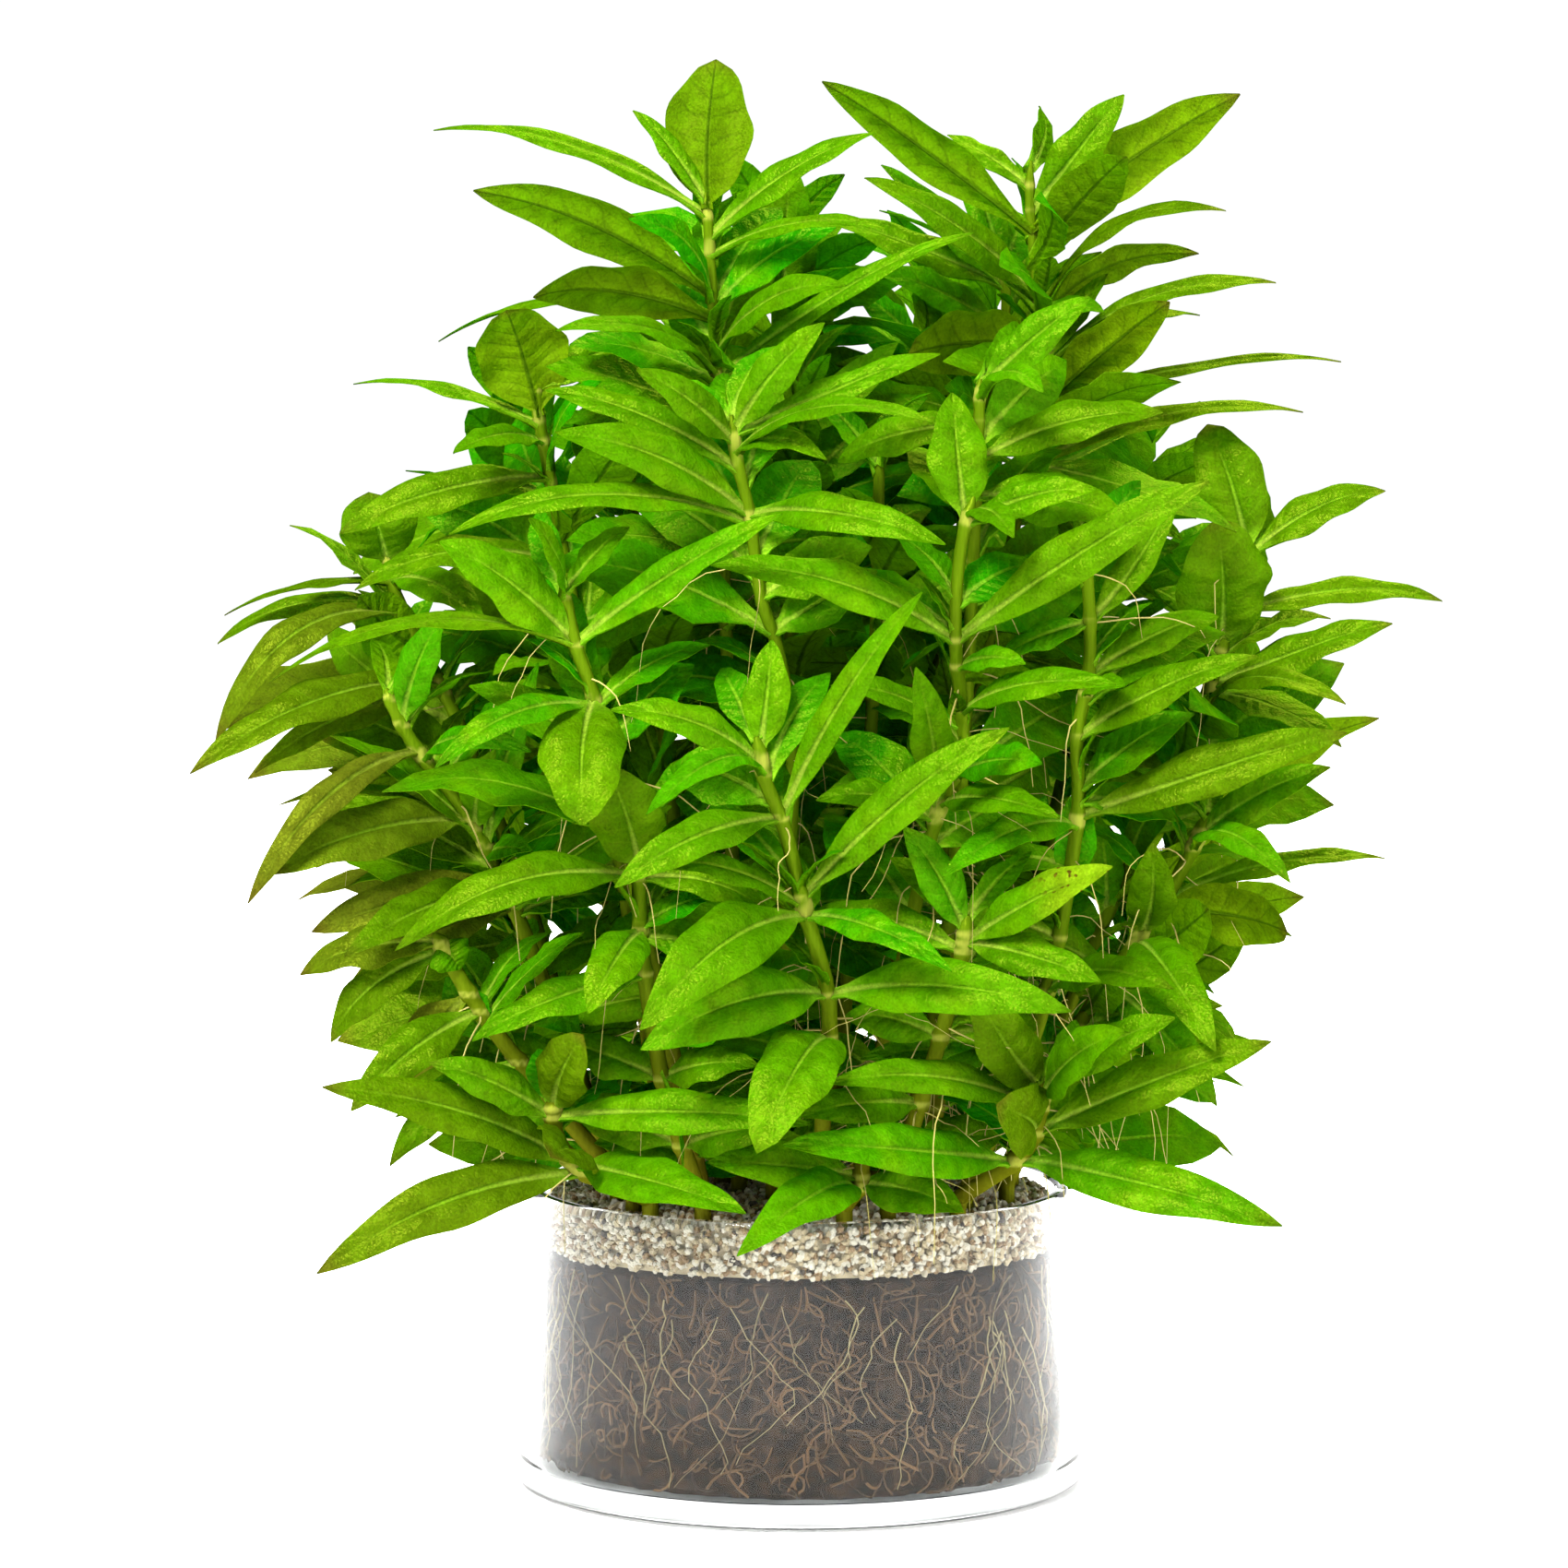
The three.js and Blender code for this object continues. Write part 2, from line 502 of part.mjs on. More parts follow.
function addLeaf(plant, wanted) {
  const leaf = settle(wanted, plant.number + 1);
  if (leaf) {
    plant.leaves.push(leaf);
  }
}

// Stems first, then the leaves placed one by one, the pairs that fill the rest, and last the
// broad leaves between those pairs.
function growPlant() {
  const plants = shoots.map(([name, turn, path, rows], number) => {
    const line = smoothPath(path, pathSteps);
    for (let i = 0; i < line.length - 1; i += 1) {
      for (let step = 0; step < stemSteps; step += 1) {
        occupy(line[i].clone().lerp(line[i + 1], step / stemSteps), number + 1);
      }
    }
    return { name, turn, path, rows, line, number, leaves: [] };
  });
  for (const plant of plants) {
    for (const row of plant.rows) {
      addLeaf(plant, placedLeaf(plant.line, row));
    }
  }
  for (const plant of plants) {
    for (const wanted of grownLeaves(plant, firstNode, 0, 0)) {
      const hidesFront = plant.rows.length > 0 && wanted.direction.y < backward;
      const taken = isTaken(wanted, plant.leaves, sameNode, sameSide);
      if (!hidesFront && !pointsInwards(wanted) && !taken) {
        addLeaf(plant, wanted);
      }
    }
  }
  for (const plant of plants) {
    grownLeaves(plant, outerStart, outerTwist, outerSeeds).forEach((narrow, k) => {
      const wanted = broadLeaf(narrow, outerSeeds + outerSeedStep * plant.number + k);
      if (isOuter(wanted) && !isTaken(wanted, plant.leaves, outerNode, outerSide)) {
        addLeaf(plant, wanted);
      }
    });
  }
  return plants;
}

// A closed solid from rings of equal size, each end flat or drawn to a point.
function solidFromRings(rings, start, tip) {
  const size = rings[0].length;
  const points = rings.flat();
  const faces = [];
  const last = (rings.length - 1) * size;
  for (let r = 0; r < rings.length - 1; r += 1) {
    for (let i = 0; i < size; i += 1) {
      const j = (i + 1) % size;
      const low = r * size;
      const high = low + size;
      faces.push(low + i, low + j, high + j, low + i, high + j, high + i);
    }
  }
  if (start) {
    points.push(start);
    for (let i = 0; i < size; i += 1) {
      faces.push((i + 1) % size, i, points.length - 1);
    }
  } else {
    for (let i = 1; i < size - 1; i += 1) {
      faces.push(0, i + 1, i);
    }
  }
  if (tip) {
    points.push(tip);
    for (let i = 0; i < size; i += 1) {
      faces.push(last + i, last + ((i + 1) % size), points.length - 1);
    }
  } else {
    for (let i = 1; i < size - 1; i += 1) {
      faces.push(last, last + i, last + i + 1);
    }
  }
  const vertProperties = new Float32Array(points.flatMap((p) => [p.x, p.y, p.z]));
  const triVerts = new Uint32Array(faces);
  const solid = new wasm.Manifold(new wasm.Mesh({ numProp: 3, vertProperties, triVerts }));
  return solid.volume() > 0 ? solid : turnedInsideOut(vertProperties, triVerts);
}

function turnedInsideOut(vertProperties, triVerts) {
  const flipped = triVerts.slice();
  for (let i = 0; i < flipped.length; i += 3) {
    [flipped[i], flipped[i + 1]] = [flipped[i + 1], flipped[i]];
  }
  return new wasm.Manifold(new wasm.Mesh({ numProp: 3, vertProperties, triVerts: flipped }));
}

function ringAround(centre, radius, sides, z) {
  const ring = [];
  for (let i = 0; i < sides; i += 1) {
    const angle = (2 * Math.PI * i) / sides;
    ring.push(vec(centre.x + radius * Math.cos(angle), centre.y + radius * Math.sin(angle), z));
  }
  return ring;
}

// The stem goes straight down through its socket in the gravel.
function stemSolid(plant) {
  const line = smoothPath(plant.path, 1);
  const foot = ringAround(line[0], stemFootRadius, stemSides, plugTop + 2 * fitGap);
  const rings = line.map((point) => {
    const taper = Math.min(point.z / stemFullHeight, 1);
    const radius = stemFootRadius + (stemTipRadius - stemFootRadius) * taper;
    return ringAround(point, radius, stemSides, point.z + gravelCrown);
  });
  return solidFromRings([foot, ...rings]);
}

// Three-sided blade: a flat upper side between the two edges and a keel under the midrib.
// It starts as a point inside the stem and ends as a point at the tip.
function leafSolid(leaf) {
  const frame = frameOf(leaf);
  const raise = vec(0, 0, gravelCrown);
  const rings = leafSections.map(({ u, keel }) => {
    const middle = bladePoint(leaf, frame, u, 0).addScaledVector(frame.n, -keel);
    return [bladePoint(leaf, frame, u, -facetSpread), bladePoint(leaf, frame, u, facetSpread), middle]
      .map((point) => point.add(raise));
  });
  const root = leaf.base.clone().addScaledVector(leaf.direction, -rootDepth).add(raise);
  return solidFromRings(rings, root, bladePoint(leaf, frame, 1, 0).add(raise));
}

function turned(profile) {
  const points = profile.map(([radius, z]) => new THREE.Vector2(radius, z));
  const lathe = new THREE.LatheGeometry(points, turnSteps);
  lathe.rotateX(Math.PI / 2);
  return weld(lathe);
}

// Merge equal positions so the turned surface closes, then hand it over as a solid.
function weld(geometry) {
  const source = geometry.index ? geometry.toNonIndexed() : geometry;
  const position = source.getAttribute("position");
  const seen = new Map();
  const points = [];
  const faces = [];
  for (let i = 0; i < position.count; i += 3) {
    const corner = [0, 1, 2].map((k) => {
      const p = [position.getX(i + k), position.getY(i + k), position.getZ(i + k)];
      const key = p.map((value) => (Math.round(value * 1e4) + 0).toString()).join(" ");
      if (!seen.has(key)) {
        seen.set(key, points.length / 3);
        points.push(...p);
      }
      return seen.get(key);
    });
    if (new Set(corner).size === 3) {
      faces.push(...corner);
    }
  }
  const vertProperties = new Float32Array(points);
  const triVerts = new Uint32Array(faces);
  const solid = new wasm.Manifold(new wasm.Mesh({ numProp: 3, vertProperties, triVerts }));
  return solid.volume() > 0 ? solid : turnedInsideOut(vertProperties, triVerts);
}

function potRadius(z) {
  return potFootRadius + (potRimRadius - potFootRadius) * (z / potHeight);
}

function potSolid() {
  const inner = potRadius(potFloor) - potWall;
  return turned([
    [0, 0], [potFootRadius - footRounding, 0], [potFootRadius, footRounding],
    [potRimRadius, potHeight - rimRounding], [potRimRadius - potWall / 2, potHeight],
    [potRimRadius - potWall, potHeight - rimRounding],
    [inner, potFloor + floorRounding.up], [inner - floorRounding.out, potFloor], [0, potFloor],
  ]);
}

function insideRadius(z) {
  return potRadius(z) - potWall - fitGap - wallAllowance;
}

function plugSolid() {
  const low = potFloor + fitGap;
  const { foot, shoulder, drop } = plugRounding;
  const edge = insideRadius(plugTop);
  return turned([
    [0, low], [insideRadius(low) - foot, low], [insideRadius(low + foot), low + foot],
    [edge, plugTop - drop], [edge - shoulder, plugTop], [0, plugTop],
  ]);
}

// The dressing is heaped a little and has a socket for every stem.
function gravelSolid(plants) {
  const low = plugTop + fitGap;
  const edge = insideRadius(gravelEdge);
  let body = turned([
    [0, low], [insideRadius(low), low], [edge, gravelEdge],
    [edge * gravelShoulder.share, gravelCrown - gravelShoulder.sink], [0, gravelCrown - gravelSink],
  ]);
  for (const plant of plants) {
    const foot = plant.line[0];
    const radius = stemFootRadius + socketGap * Math.SQRT2;
    const socket = solidFromRings([
      ringAround(foot, radius, stemSides, low - socketOverrun),
      ringAround(foot, radius, stemSides, gravelCrown + socketOverrun),
    ]);
    body = body.subtract(socket);
  }
  return body;
}

function meshOf(solid, name, color, roughness) {
  const mesh = solid.getMesh();
  const geometry = new THREE.BufferGeometry();
  geometry.setAttribute("position", new THREE.BufferAttribute(mesh.vertProperties, 3));
  geometry.setIndex(new THREE.BufferAttribute(mesh.triVerts, 1));
  const part = new THREE.Mesh(geometry.toNonIndexed(),
    new THREE.MeshStandardMaterial({ color, roughness, metalness: 0 }));
  part.geometry.computeVertexNormals();
  part.name = name;
  return part;
}

const plants = growPlant();
const part = new THREE.Group();
part.name = "potted_staurogyne_repens";
part.add(meshOf(potSolid(), "pot", 0xdfe6e4, 0.1));
part.add(meshOf(plugSolid(), "plug", 0x2b2019, 0.95));
part.add(meshOf(gravelSolid(plants), "gravel", 0xd8ccb4, 0.9));
for (const plant of plants) {
  const pieces = [stemSolid(plant), ...plant.leaves.map(leafSolid)];
  const solid = wasm.Manifold.union(pieces).simplify(weldTolerance);
  part.add(meshOf(solid, `shoot_${plant.name}`, 0x5fb31a, 0.5));
}

export default part;
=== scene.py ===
# %% [markdown]
# # Potted Staurogyne repens
#
# A bushy clump of leafy stems grows out of a low clear pot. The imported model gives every
# shoot a faceted stand-in; this lesson dresses each of them with bent leaves and round
# stems with swollen nodes, and adds fine roots, loose gravel and a clear pot wall.

# %% Load the frame
import math

import bpy
import numpy as np
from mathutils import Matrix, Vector
from mathutils import noise as cloud


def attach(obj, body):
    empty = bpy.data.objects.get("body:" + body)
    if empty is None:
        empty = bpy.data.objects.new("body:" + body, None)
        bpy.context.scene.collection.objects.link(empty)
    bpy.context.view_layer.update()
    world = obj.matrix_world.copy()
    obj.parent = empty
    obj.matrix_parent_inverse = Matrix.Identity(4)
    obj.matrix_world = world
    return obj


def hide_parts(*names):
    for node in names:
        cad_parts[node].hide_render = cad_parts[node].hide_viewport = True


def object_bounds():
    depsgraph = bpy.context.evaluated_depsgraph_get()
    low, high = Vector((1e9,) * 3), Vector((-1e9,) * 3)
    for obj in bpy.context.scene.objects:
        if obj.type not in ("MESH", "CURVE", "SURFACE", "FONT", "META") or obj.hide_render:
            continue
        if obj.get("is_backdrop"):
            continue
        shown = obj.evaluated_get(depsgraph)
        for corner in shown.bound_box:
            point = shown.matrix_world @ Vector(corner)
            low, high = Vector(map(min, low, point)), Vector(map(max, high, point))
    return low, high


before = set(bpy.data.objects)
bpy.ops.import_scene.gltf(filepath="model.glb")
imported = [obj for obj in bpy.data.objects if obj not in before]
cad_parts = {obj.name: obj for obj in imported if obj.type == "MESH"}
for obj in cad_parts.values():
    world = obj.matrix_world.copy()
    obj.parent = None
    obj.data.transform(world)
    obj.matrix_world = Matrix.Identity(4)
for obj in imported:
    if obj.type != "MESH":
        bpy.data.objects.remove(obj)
cad_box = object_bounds()
print("nodes", len(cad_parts), "box", [[round(v, 4) for v in corner] for corner in cad_box])

# %% [markdown]
# ## Camera first
#
# The plant was photographed from a little above its middle with a long lens, so that near
# and far leaves are drawn at nearly the same size. The camera stands back by nearly four
# times the object's height and looks down by a few degrees.

# %% Camera
view_distance = 0.62
view_drop = math.radians(4.0)
view_middle = Vector((-0.0018, 0.0, 0.0815))
seen_width = 0.1835
sensor_width = 36.0

camera_data = bpy.data.cameras.new("camera")
camera_data.sensor_width = sensor_width
camera_data.lens = sensor_width * view_distance / seen_width
camera = bpy.data.objects.new("camera", camera_data)
bpy.context.scene.collection.objects.link(camera)
back_off = Vector((0, -math.cos(view_drop), math.sin(view_drop))) * view_distance
camera.location = view_middle + back_off
camera.rotation_euler = (math.radians(90.0) - view_drop, 0.0, 0.0)
bpy.context.scene.camera = camera
bpy.context.scene.view_settings.view_transform = "Standard"
print("lens", round(camera_data.lens, 1), "mm")

# %% [markdown]
# ## How the plant grows
#
# The leaves stand where the solids have them. Every shoot is a stem path with the leaves
# that can be told apart one by one, and the rest are opposite pairs, each turned a quarter
# from the one below. A leaf that would cut through another shoot is turned, lifted or
# shortened until it is clear. All numbers are millimetres above the crown of the gravel.

# %% Sizes of pot, stems and leaves
mm = 0.001
pot_height = 34.5
pot_rim_radius = 31.6
pot_foot_radius = 33.6
pot_wall = 1.6
pot_floor = 2.6
fit_gap = 0.3
plug_top = 27.5
gravel_edge = 33.2
gravel_crown = 35.6
stem_foot_radius = 0.98
stem_tip_radius = 0.52
stem_full_height = 120.0
petiole_half_width = 0.7
petiole_share = 0.08
blade_fold = 0.12
lance = (0.85, 1.15)
oval = (1.0, 0.62)
broad = (0.95, 0.85)
forms = [lance, oval, broad]
oval_form, broad_form = 1, 2

# %% Sizes of the growth
internode = 16.0
first_node = 9.0
long_leaf = 25.0
bud_leaf = 11.0
full_rank = 1.6
leaf_slimness = 0.25
same_node = 6.0
same_side = 0.55
inward_share = 0.35
backward = 0.25
outer_start = 17.0
outer_twist = 45.0
outer_seeds = 20011
outer_share = 0.68
outer_low = 15.0
outer_front = -20.0
beside_node = 3.0
beside_side = 0.8

# %% Clearance between shoots
cell = 1.3
sample_step = 0.85
sample_start = 0.06
grid_half = 95.0
grid_below = 40.0
grid_above = 140.0
shared_cell = 1000
petiole_end = 0.22
pot_keep_out = 34.6
gravel_keep_out = 0.9
turns = [
    (0, 0), (6, 0), (-6, 0), (0, 6), (0, -6), (10, 8), (-10, 8), (10, -8), (-10, -8),
    (16, 0), (-16, 0), (0, 15), (0, -15), (22, 12), (-22, 12), (30, 0), (-30, 0),
]
length_cuts = [1, 0.9, 0.8, 0.68]
depth_shifts = [0, -3, 3, -6, 6, -9, 9, -12, 12, -15, 15, -18, 18]

# %% [markdown]
# ## The shoots
#
# Each row gives the shoot's name, the azimuth of its first leaf pair, the points of its
# stem, and its placed leaves: height of the node, the tip's x, y and height, the width,
# the tilt of the upper side towards the front, the arch, and the form (1 is oval).

# %% Table of shoots
shoots = [
    ["front_centre", 10, [[2.5, -22, 0], [2.6, -30, 12], [3.2, -35, 24], [0.4, -38, 35],
        [-1.8, -40, 44], [-3.8, -41, 49], [-4.8, -41.5, 54]], [
        [52, -3.1, -40, 64.5, 5, 80, 0.04, 0], [51, -20.2, -47, 57.6, 5, 50, 0.14, 0],
        [50, -16, -57, 47.6, 4.4, 55, 0.16, 0], [45, -20, -50, 38.5, 5, 50, 0.12, 0],
        [45, 12.4, -52, 70, 4.2, 55, 0.03, 0], [36, 21.7, -47, 55.5, 5.4, 60, 0.04, 0],
        [35, -16, -47, 41, 4.5, 35, 0.08, 0], [34, 16, -52, 30, 4.5, 45, 0.12, 0],
        [34, -17, -55, 24, 8.2, 55, 0.16, 0], [25, -17, -49, 21, 8, 60, 0.14, 0],
        [25, 28.6, -50, 25.5, 6.4, 60, 0.12, 0], [20, -4.5, -52, 10.5, 8.6, 60, 0.2, 1],
    ]],
    ["tall_centre", 35, [[-3, -13, 0], [-2, -20, 25], [-0.8, -25, 50], [-2.3, -28, 62],
        [-4.4, -30, 69], [-5.6, -31, 78], [-7, -32, 84], [-7.6, -32, 89]], [
        [78, -26, -42, 87.5, 6.2, 60, 0.08, 0], [77, -38, -42, 77.5, 4.4, 35, 0.13, 0],
        [78, 15.4, -46, 75.5, 5, 55, 0.13, 0], [83, -28, -38, 92, 4.6, 45, 0.1, 0],
        [85, 2.4, -44, 85, 3.2, 45, 0.1, 0], [86, -17.5, -40, 94, 4.6, 65, 0.08, 0],
        [87, 2.4, -38, 99, 4.8, 70, 0.05, 0], [87, 15, -34, 96.5, 3.8, 50, 0.04, 0],
        [85, 13, -43, 89.6, 4.2, 50, 0.1, 0],
    ]],
    ["front_left", 100, [[-11, -17, 0], [-16, -26, 25], [-20, -33, 45], [-22.8, -36, 58],
        [-24.6, -37, 63.5], [-26, -37, 70]], [
        [64, -57.5, -46, 61, 4.6, 25, 0.13, 0], [64, -38.6, -38, 75.5, 7, 60, 0.06, 0],
        [64, -2.4, -47, 78.5, 4.8, 60, 0.05, 0], [58, -23.6, -47, 45, 9.2, 75, 0.12, 1],
        [57, -39.5, -47, 51.5, 4.4, 40, 0.16, 0], [69, -29, -45, 78, 4, 50, 0.06, 0],
    ]],
    ["lower_front_left", 60, [[-11, -23, 0], [-15, -29, 13], [-17.3, -32, 27], [-17.8, -35, 38.5],
        [-16.8, -36, 45]], [
        [38, -43.8, -46, 32, 6.4, 55, 0.16, 0], [39, -21, -44, 50.5, 8, 70, 0.05, 1],
        [32, -23, -46, 24.5, 6, 65, 0.14, 0], [27, -36, -40, 21, 5.4, 50, 0.12, 0],
        [38, -3, -50, 34, 4.8, 45, 0.12, 0],
    ]],
    ["left", 15, [[-21, -10, 0], [-27, -14, 18], [-35.8, -16, 40], [-43.8, -18, 51.5],
        [-47, -18, 58]], [
        [43, -59.5, -30, 38, 7, 65, 0.1, 0], [51, -61.5, -28, 35, 4, 50, 0.2, 0],
        [50, -30.5, -31, 52.5, 4, 45, 0.14, 0], [54, -40, -24, 67, 5, 60, 0.05, 0],
        [42, -34.5, -28, 51, 4.6, 70, 0.03, 0], [34, -50, -30, 30, 6, 55, 0.12, 0],
    ]],
    ["far_left", 40, [[-23, -2, 0], [-31, -2, 30], [-40, -3, 54], [-46, -4, 66], [-48, -4, 73]], [
        [70, -66.4, -8, 66.6, 3.4, 15, 0.06, 0], [67, -67.8, -3, 63, 4.2, 20, 0.1, 0],
        [66, -66.8, -15, 51.8, 5, 35, 0.26, 0], [58, -69, -20, 49, 6.6, 45, 0.14, 0],
        [72, -49.5, -9, 80, 9, 70, 0.04, 1], [57, -63, -8, 48, 5, 40, 0.14, 0],
        [70, -36, -18, 66, 5.5, 50, 0.1, 0],
    ]],
    ["low_left", 75, [[-19, -16, 0], [-28, -21, 11], [-36, -25, 22], [-41, -27, 31]], [
        [30, -56, -32, 27, 6, 50, 0.12, 0], [29, -53, -36, 19, 5.6, 50, 0.16, 0],
        [22, -50, -33, 12, 5.6, 55, 0.14, 0], [16, -46, -30, 5.5, 5, 50, 0.12, 0],
        [30, -38, -45, 27, 5.5, 50, 0.12, 0],
    ]],
    ["centre_right", 0, [[11, -15, 0], [16, -21, 25], [18.2, -27, 51], [17.2, -31, 64],
        [17.7, -32, 74], [19.2, -32, 80]], [
        [64, -9.4, -44, 73, 5.8, 60, 0.1, 0], [64, 44, -42, 82, 5.8, 60, 0.05, 0],
        [77, 16.8, -30, 91.5, 6.6, 80, 0.03, 0], [77, 32, -38, 81.4, 4.2, 55, 0.06, 0],
        [78, 23, -44, 76, 4, 55, 0.12, 0], [56, 34, -44, 60, 5, 50, 0.12, 0],
        [52, 4, -44, 60, 5, 50, 0.1, 0],
    ]],
    ["top_right", 0, [[9, -5, 0], [17, -7, 40], [24.5, -9, 75], [28.2, -11, 94], [27.2, -11, 102.5],
        [26.3, -10, 113], [26.4, -10, 118]], [
        [112, 36.6, -12, 125.5, 5.2, 60, 0.04, 0], [110, 49.8, -16, 125.6, 7.2, -65, 0.08, 0],
        [110, 2.6, -16, 127, 5.8, -60, 0.05, 0], [115, 17, -6, 121.2, 3.6, 40, 0.08, 0],
        [102.5, 7.6, -25, 115.5, 5.8, 60, 0.06, 0], [101.5, 47, -22, 112.8, 4.8, 25, 0.14, 0],
        [100.5, 45.6, -9, 107.6, 5.2, -40, 0.14, 0], [95, 53.8, -16, 104.2, 4.8, 25, 0.13, 0],
        [96, 46.4, -2, 101, 4.6, 25, 0.08, 0], [90, 41.5, -14, 102, 6.4, -70, 0.03, 0],
        [91, 62, -8, 97, 2.6, 20, 0.02, 0], [83, 57.6, -10, 89.8, 4.8, 30, 0.1, 0],
    ]],
    ["top_right_back", 50, [[8, 3, 0], [14, 5, 45], [20, 3, 80], [24, 1, 100], [23, 0, 107]], [
        [104, 10, -8, 118, 4.4, 50, 0.05, 0], [105, 18, 4, 121, 4.4, 45, 0.05, 0],
    ]],
    ["right_front_high", 55, [[15, -9, 0], [18, -18, 40], [19.5, -26, 76], [20, -28, 93]], [
        [92, 31.8, -30, 102.2, 5, 65, 0.04, 0], [91, 26, -42, 92, 4, 45, 0.12, 0],
        [88, 4, -40, 84, 5, 50, 0.1, 0], [84, 40, -34, 89.5, 6, 55, 0.08, 0],
        [80, 36, -38, 78, 7, 60, 0.1, 0],
    ]],
    ["right", 90, [[19, -15, 0], [27, -21, 20], [31, -25, 42], [31, -27, 53], [32.2, -28, 60],
        [32.2, -29, 67], [31.7, -29, 74]], [
        [53, 49.4, -38, 63, 5.2, 60, 0.08, 0], [44, 60.2, -32, 54.5, 5.8, 55, 0.06, 0],
        [66, 42, -26, 80.5, 3.8, 50, -0.08, 0], [60, 47, -24, 67, 4.6, 45, 0.08, 0],
        [43, 16, -44, 40, 5, 50, 0.12, 0], [66, 22, -44, 62, 4.2, 45, 0.1, 0],
    ]],
    ["far_right", 0, [[24, -3, 0], [34, -5, 27], [44, -8, 49], [48, -9, 60], [50, -9, 68],
        [52, -9, 74]], [
        [62, 47.5, -15, 77, 11, 75, 0.04, 1], [73, 47, -8, 88, 8, 75, 0.05, 1],
        [73, 67, -9, 81, 5.4, 40, 0.06, 0], [66, 74.2, -7, 68.6, 4.8, 30, 0.06, 0],
        [58, 66.8, -17, 66, 5.4, 45, 0.02, 0], [56, 60, -30, 58, 5, 50, 0.12, 0],
    ]],
    ["low_right", 30, [[24, -9, 0], [32, -14, 19], [41, -18, 33], [46.5, -20, 44]], [
        [41, 59, -27, 49.8, 5.4, 60, 0.08, 0], [42, 65.4, -14, 55, 7, -55, 0.06, 0],
        [40, 53.4, -32, 38.5, 5, 45, 0.16, 0], [34, 66.6, -17, 39, 4.8, 25, 0.08, 0],
        [33, 55, -27, 31.5, 7.6, -65, 0.05, 1], [29, 45.5, -39, 20, 6.6, 60, 0.16, 0],
        [24, 47, -26, 12, 5.2, 45, 0.14, 0],
    ]],
    ["plantlet_right", 0, [[18, -20, 0], [24, -26, 5], [26.2, -31, 9], [27, -33, 15]], [
        [5, -1.6, -51, 10.2, 6.6, 60, 0.08, 0], [5.5, 52.8, -42, 0.4, 6.4, 60, 0.1, 0],
        [9, 52, -39, 20, 6, 60, 0.08, 0], [9, 22.2, -43, 13.5, 8.4, 75, 0.1, 1],
        [14, 40.8, -38, 23.2, 5, 55, 0.05, 0], [12, 3, -46, 16.4, 4.6, 45, 0.08, 0],
        [14, 19.5, -40, 25, 6.5, 70, 0.05, 1],
    ]],
    ["plantlet_left", 0, [[-17, -21, 0], [-24, -27, 4], [-27, -31, 8], [-27.6, -33, 13]], [
        [4.5, -52.4, -40, 15.4, 6, 60, 0.08, 0], [4, -53, -44, -4.6, 6.4, 60, 0.12, 0],
        [11, -40.5, -38, 18, 5, 55, 0.08, 0], [6, -27, -44, 8.5, 8, 75, 0.08, 1],
        [5, -6.4, -48, 3, 6.6, 60, 0.1, 0], [11, 0.8, -45, 12, 5.4, 55, 0.1, 0],
        [12, -24, -41, 21, 6.5, 70, 0.05, 1],
    ]],
    ["top_left", 0, [[-7, -8, 0], [-8, -13, 50], [-9, -17, 84], [-9.6, -18, 97], [-10, -18.5, 105],
        [-10.6, -18, 114]], [
        [112, -9.5, -14, 129, 9.8, -75, 0.03, 1], [111.5, -41, -18, 122, 4.8, 35, 0.08, 0],
        [102.5, -36.4, -24, 114.4, 6.2, -60, 0.07, 0], [100, -30, -27, 102.8, 7, -60, 0.08, 0],
        [100, -41.6, -12, 98.6, 4.6, 20, 0.08, 0], [109, 8, -24, 120.6, 5, 50, 0.05, 0],
        [107, 9, -29, 110.5, 3.4, 30, 0.08, 0], [113, -18.5, -14, 123.6, 3, 30, 0.05, 0],
        [96, 4, -34, 104, 5, 50, 0.08, 0], [94, -26, -38, 99, 5, 50, 0.1, 0],
    ]],
    ["upper_left", 0, [[-15, -8, 0], [-21, -11, 40], [-27, -14, 74], [-29.5, -16, 88],
        [-30, -16, 94]], [
        [89, -33, -20, 101, 10.4, -75, 0.04, 1], [88, -50.8, -15, 93.4, 4.2, 15, 0.05, 0],
        [86, -38.6, -26, 85, 5, 45, 0.1, 0], [80, -43, -15, 80.6, 4.2, 25, 0.08, 0],
        [82, -52, -20, 76, 5.4, 45, 0.12, 0], [92, -16, -24, 98, 5, 55, 0.06, 0],
        [72, -50, -22, 70, 5.5, 45, 0.12, 0],
    ]],
    ["plantlet_centre", 0, [[10, -22, 0], [14, -30, 14], [17.6, -36, 28], [18.4, -37, 34]], [
        [30, 0.6, -48, 33.6, 5, 55, 0.08, 0], [31, 32.6, -48, 27.6, 5, 55, 0.1, 0],
        [32, 11.4, -43, 44, 5, 60, 0.04, 0], [31, 33.4, -44, 40.4, 5.6, 55, 0.05, 0],
    ]],
    ["inner_right", 0, [[6, -17, 0], [11, -26, 25], [15, -31, 44], [18.6, -33, 52]], [
        [46, 27.6, -42, 46, 5.4, 55, 0.1, 0], [49, 26, -40, 51.5, 5, 50, 0.06, 0],
        [45, 12.6, -42, 61.5, 5, 60, 0.03, 0], [44, 2, -42, 47, 5, 50, 0.12, 0],
    ]],
    ["low_centre", 0, [[5, -26.5, 0], [6.5, -29.5, 3], [7, -32, 7]], [
        [4, -10, -47, 6.8, 6, 60, 0.1, 0], [3, 18, -50, 1, 6.4, 60, 0.12, 0],
        [2.5, -6, -48, 0.2, 6.4, 60, 0.14, 0],
    ]],
    ["core", 30, [[0, -3, 0], [-1, -5, 50], [0, -9, 92]], []],
    ["core_right", 70, [[3, -8, 0], [8, -12, 50], [9, -18, 84]], []],
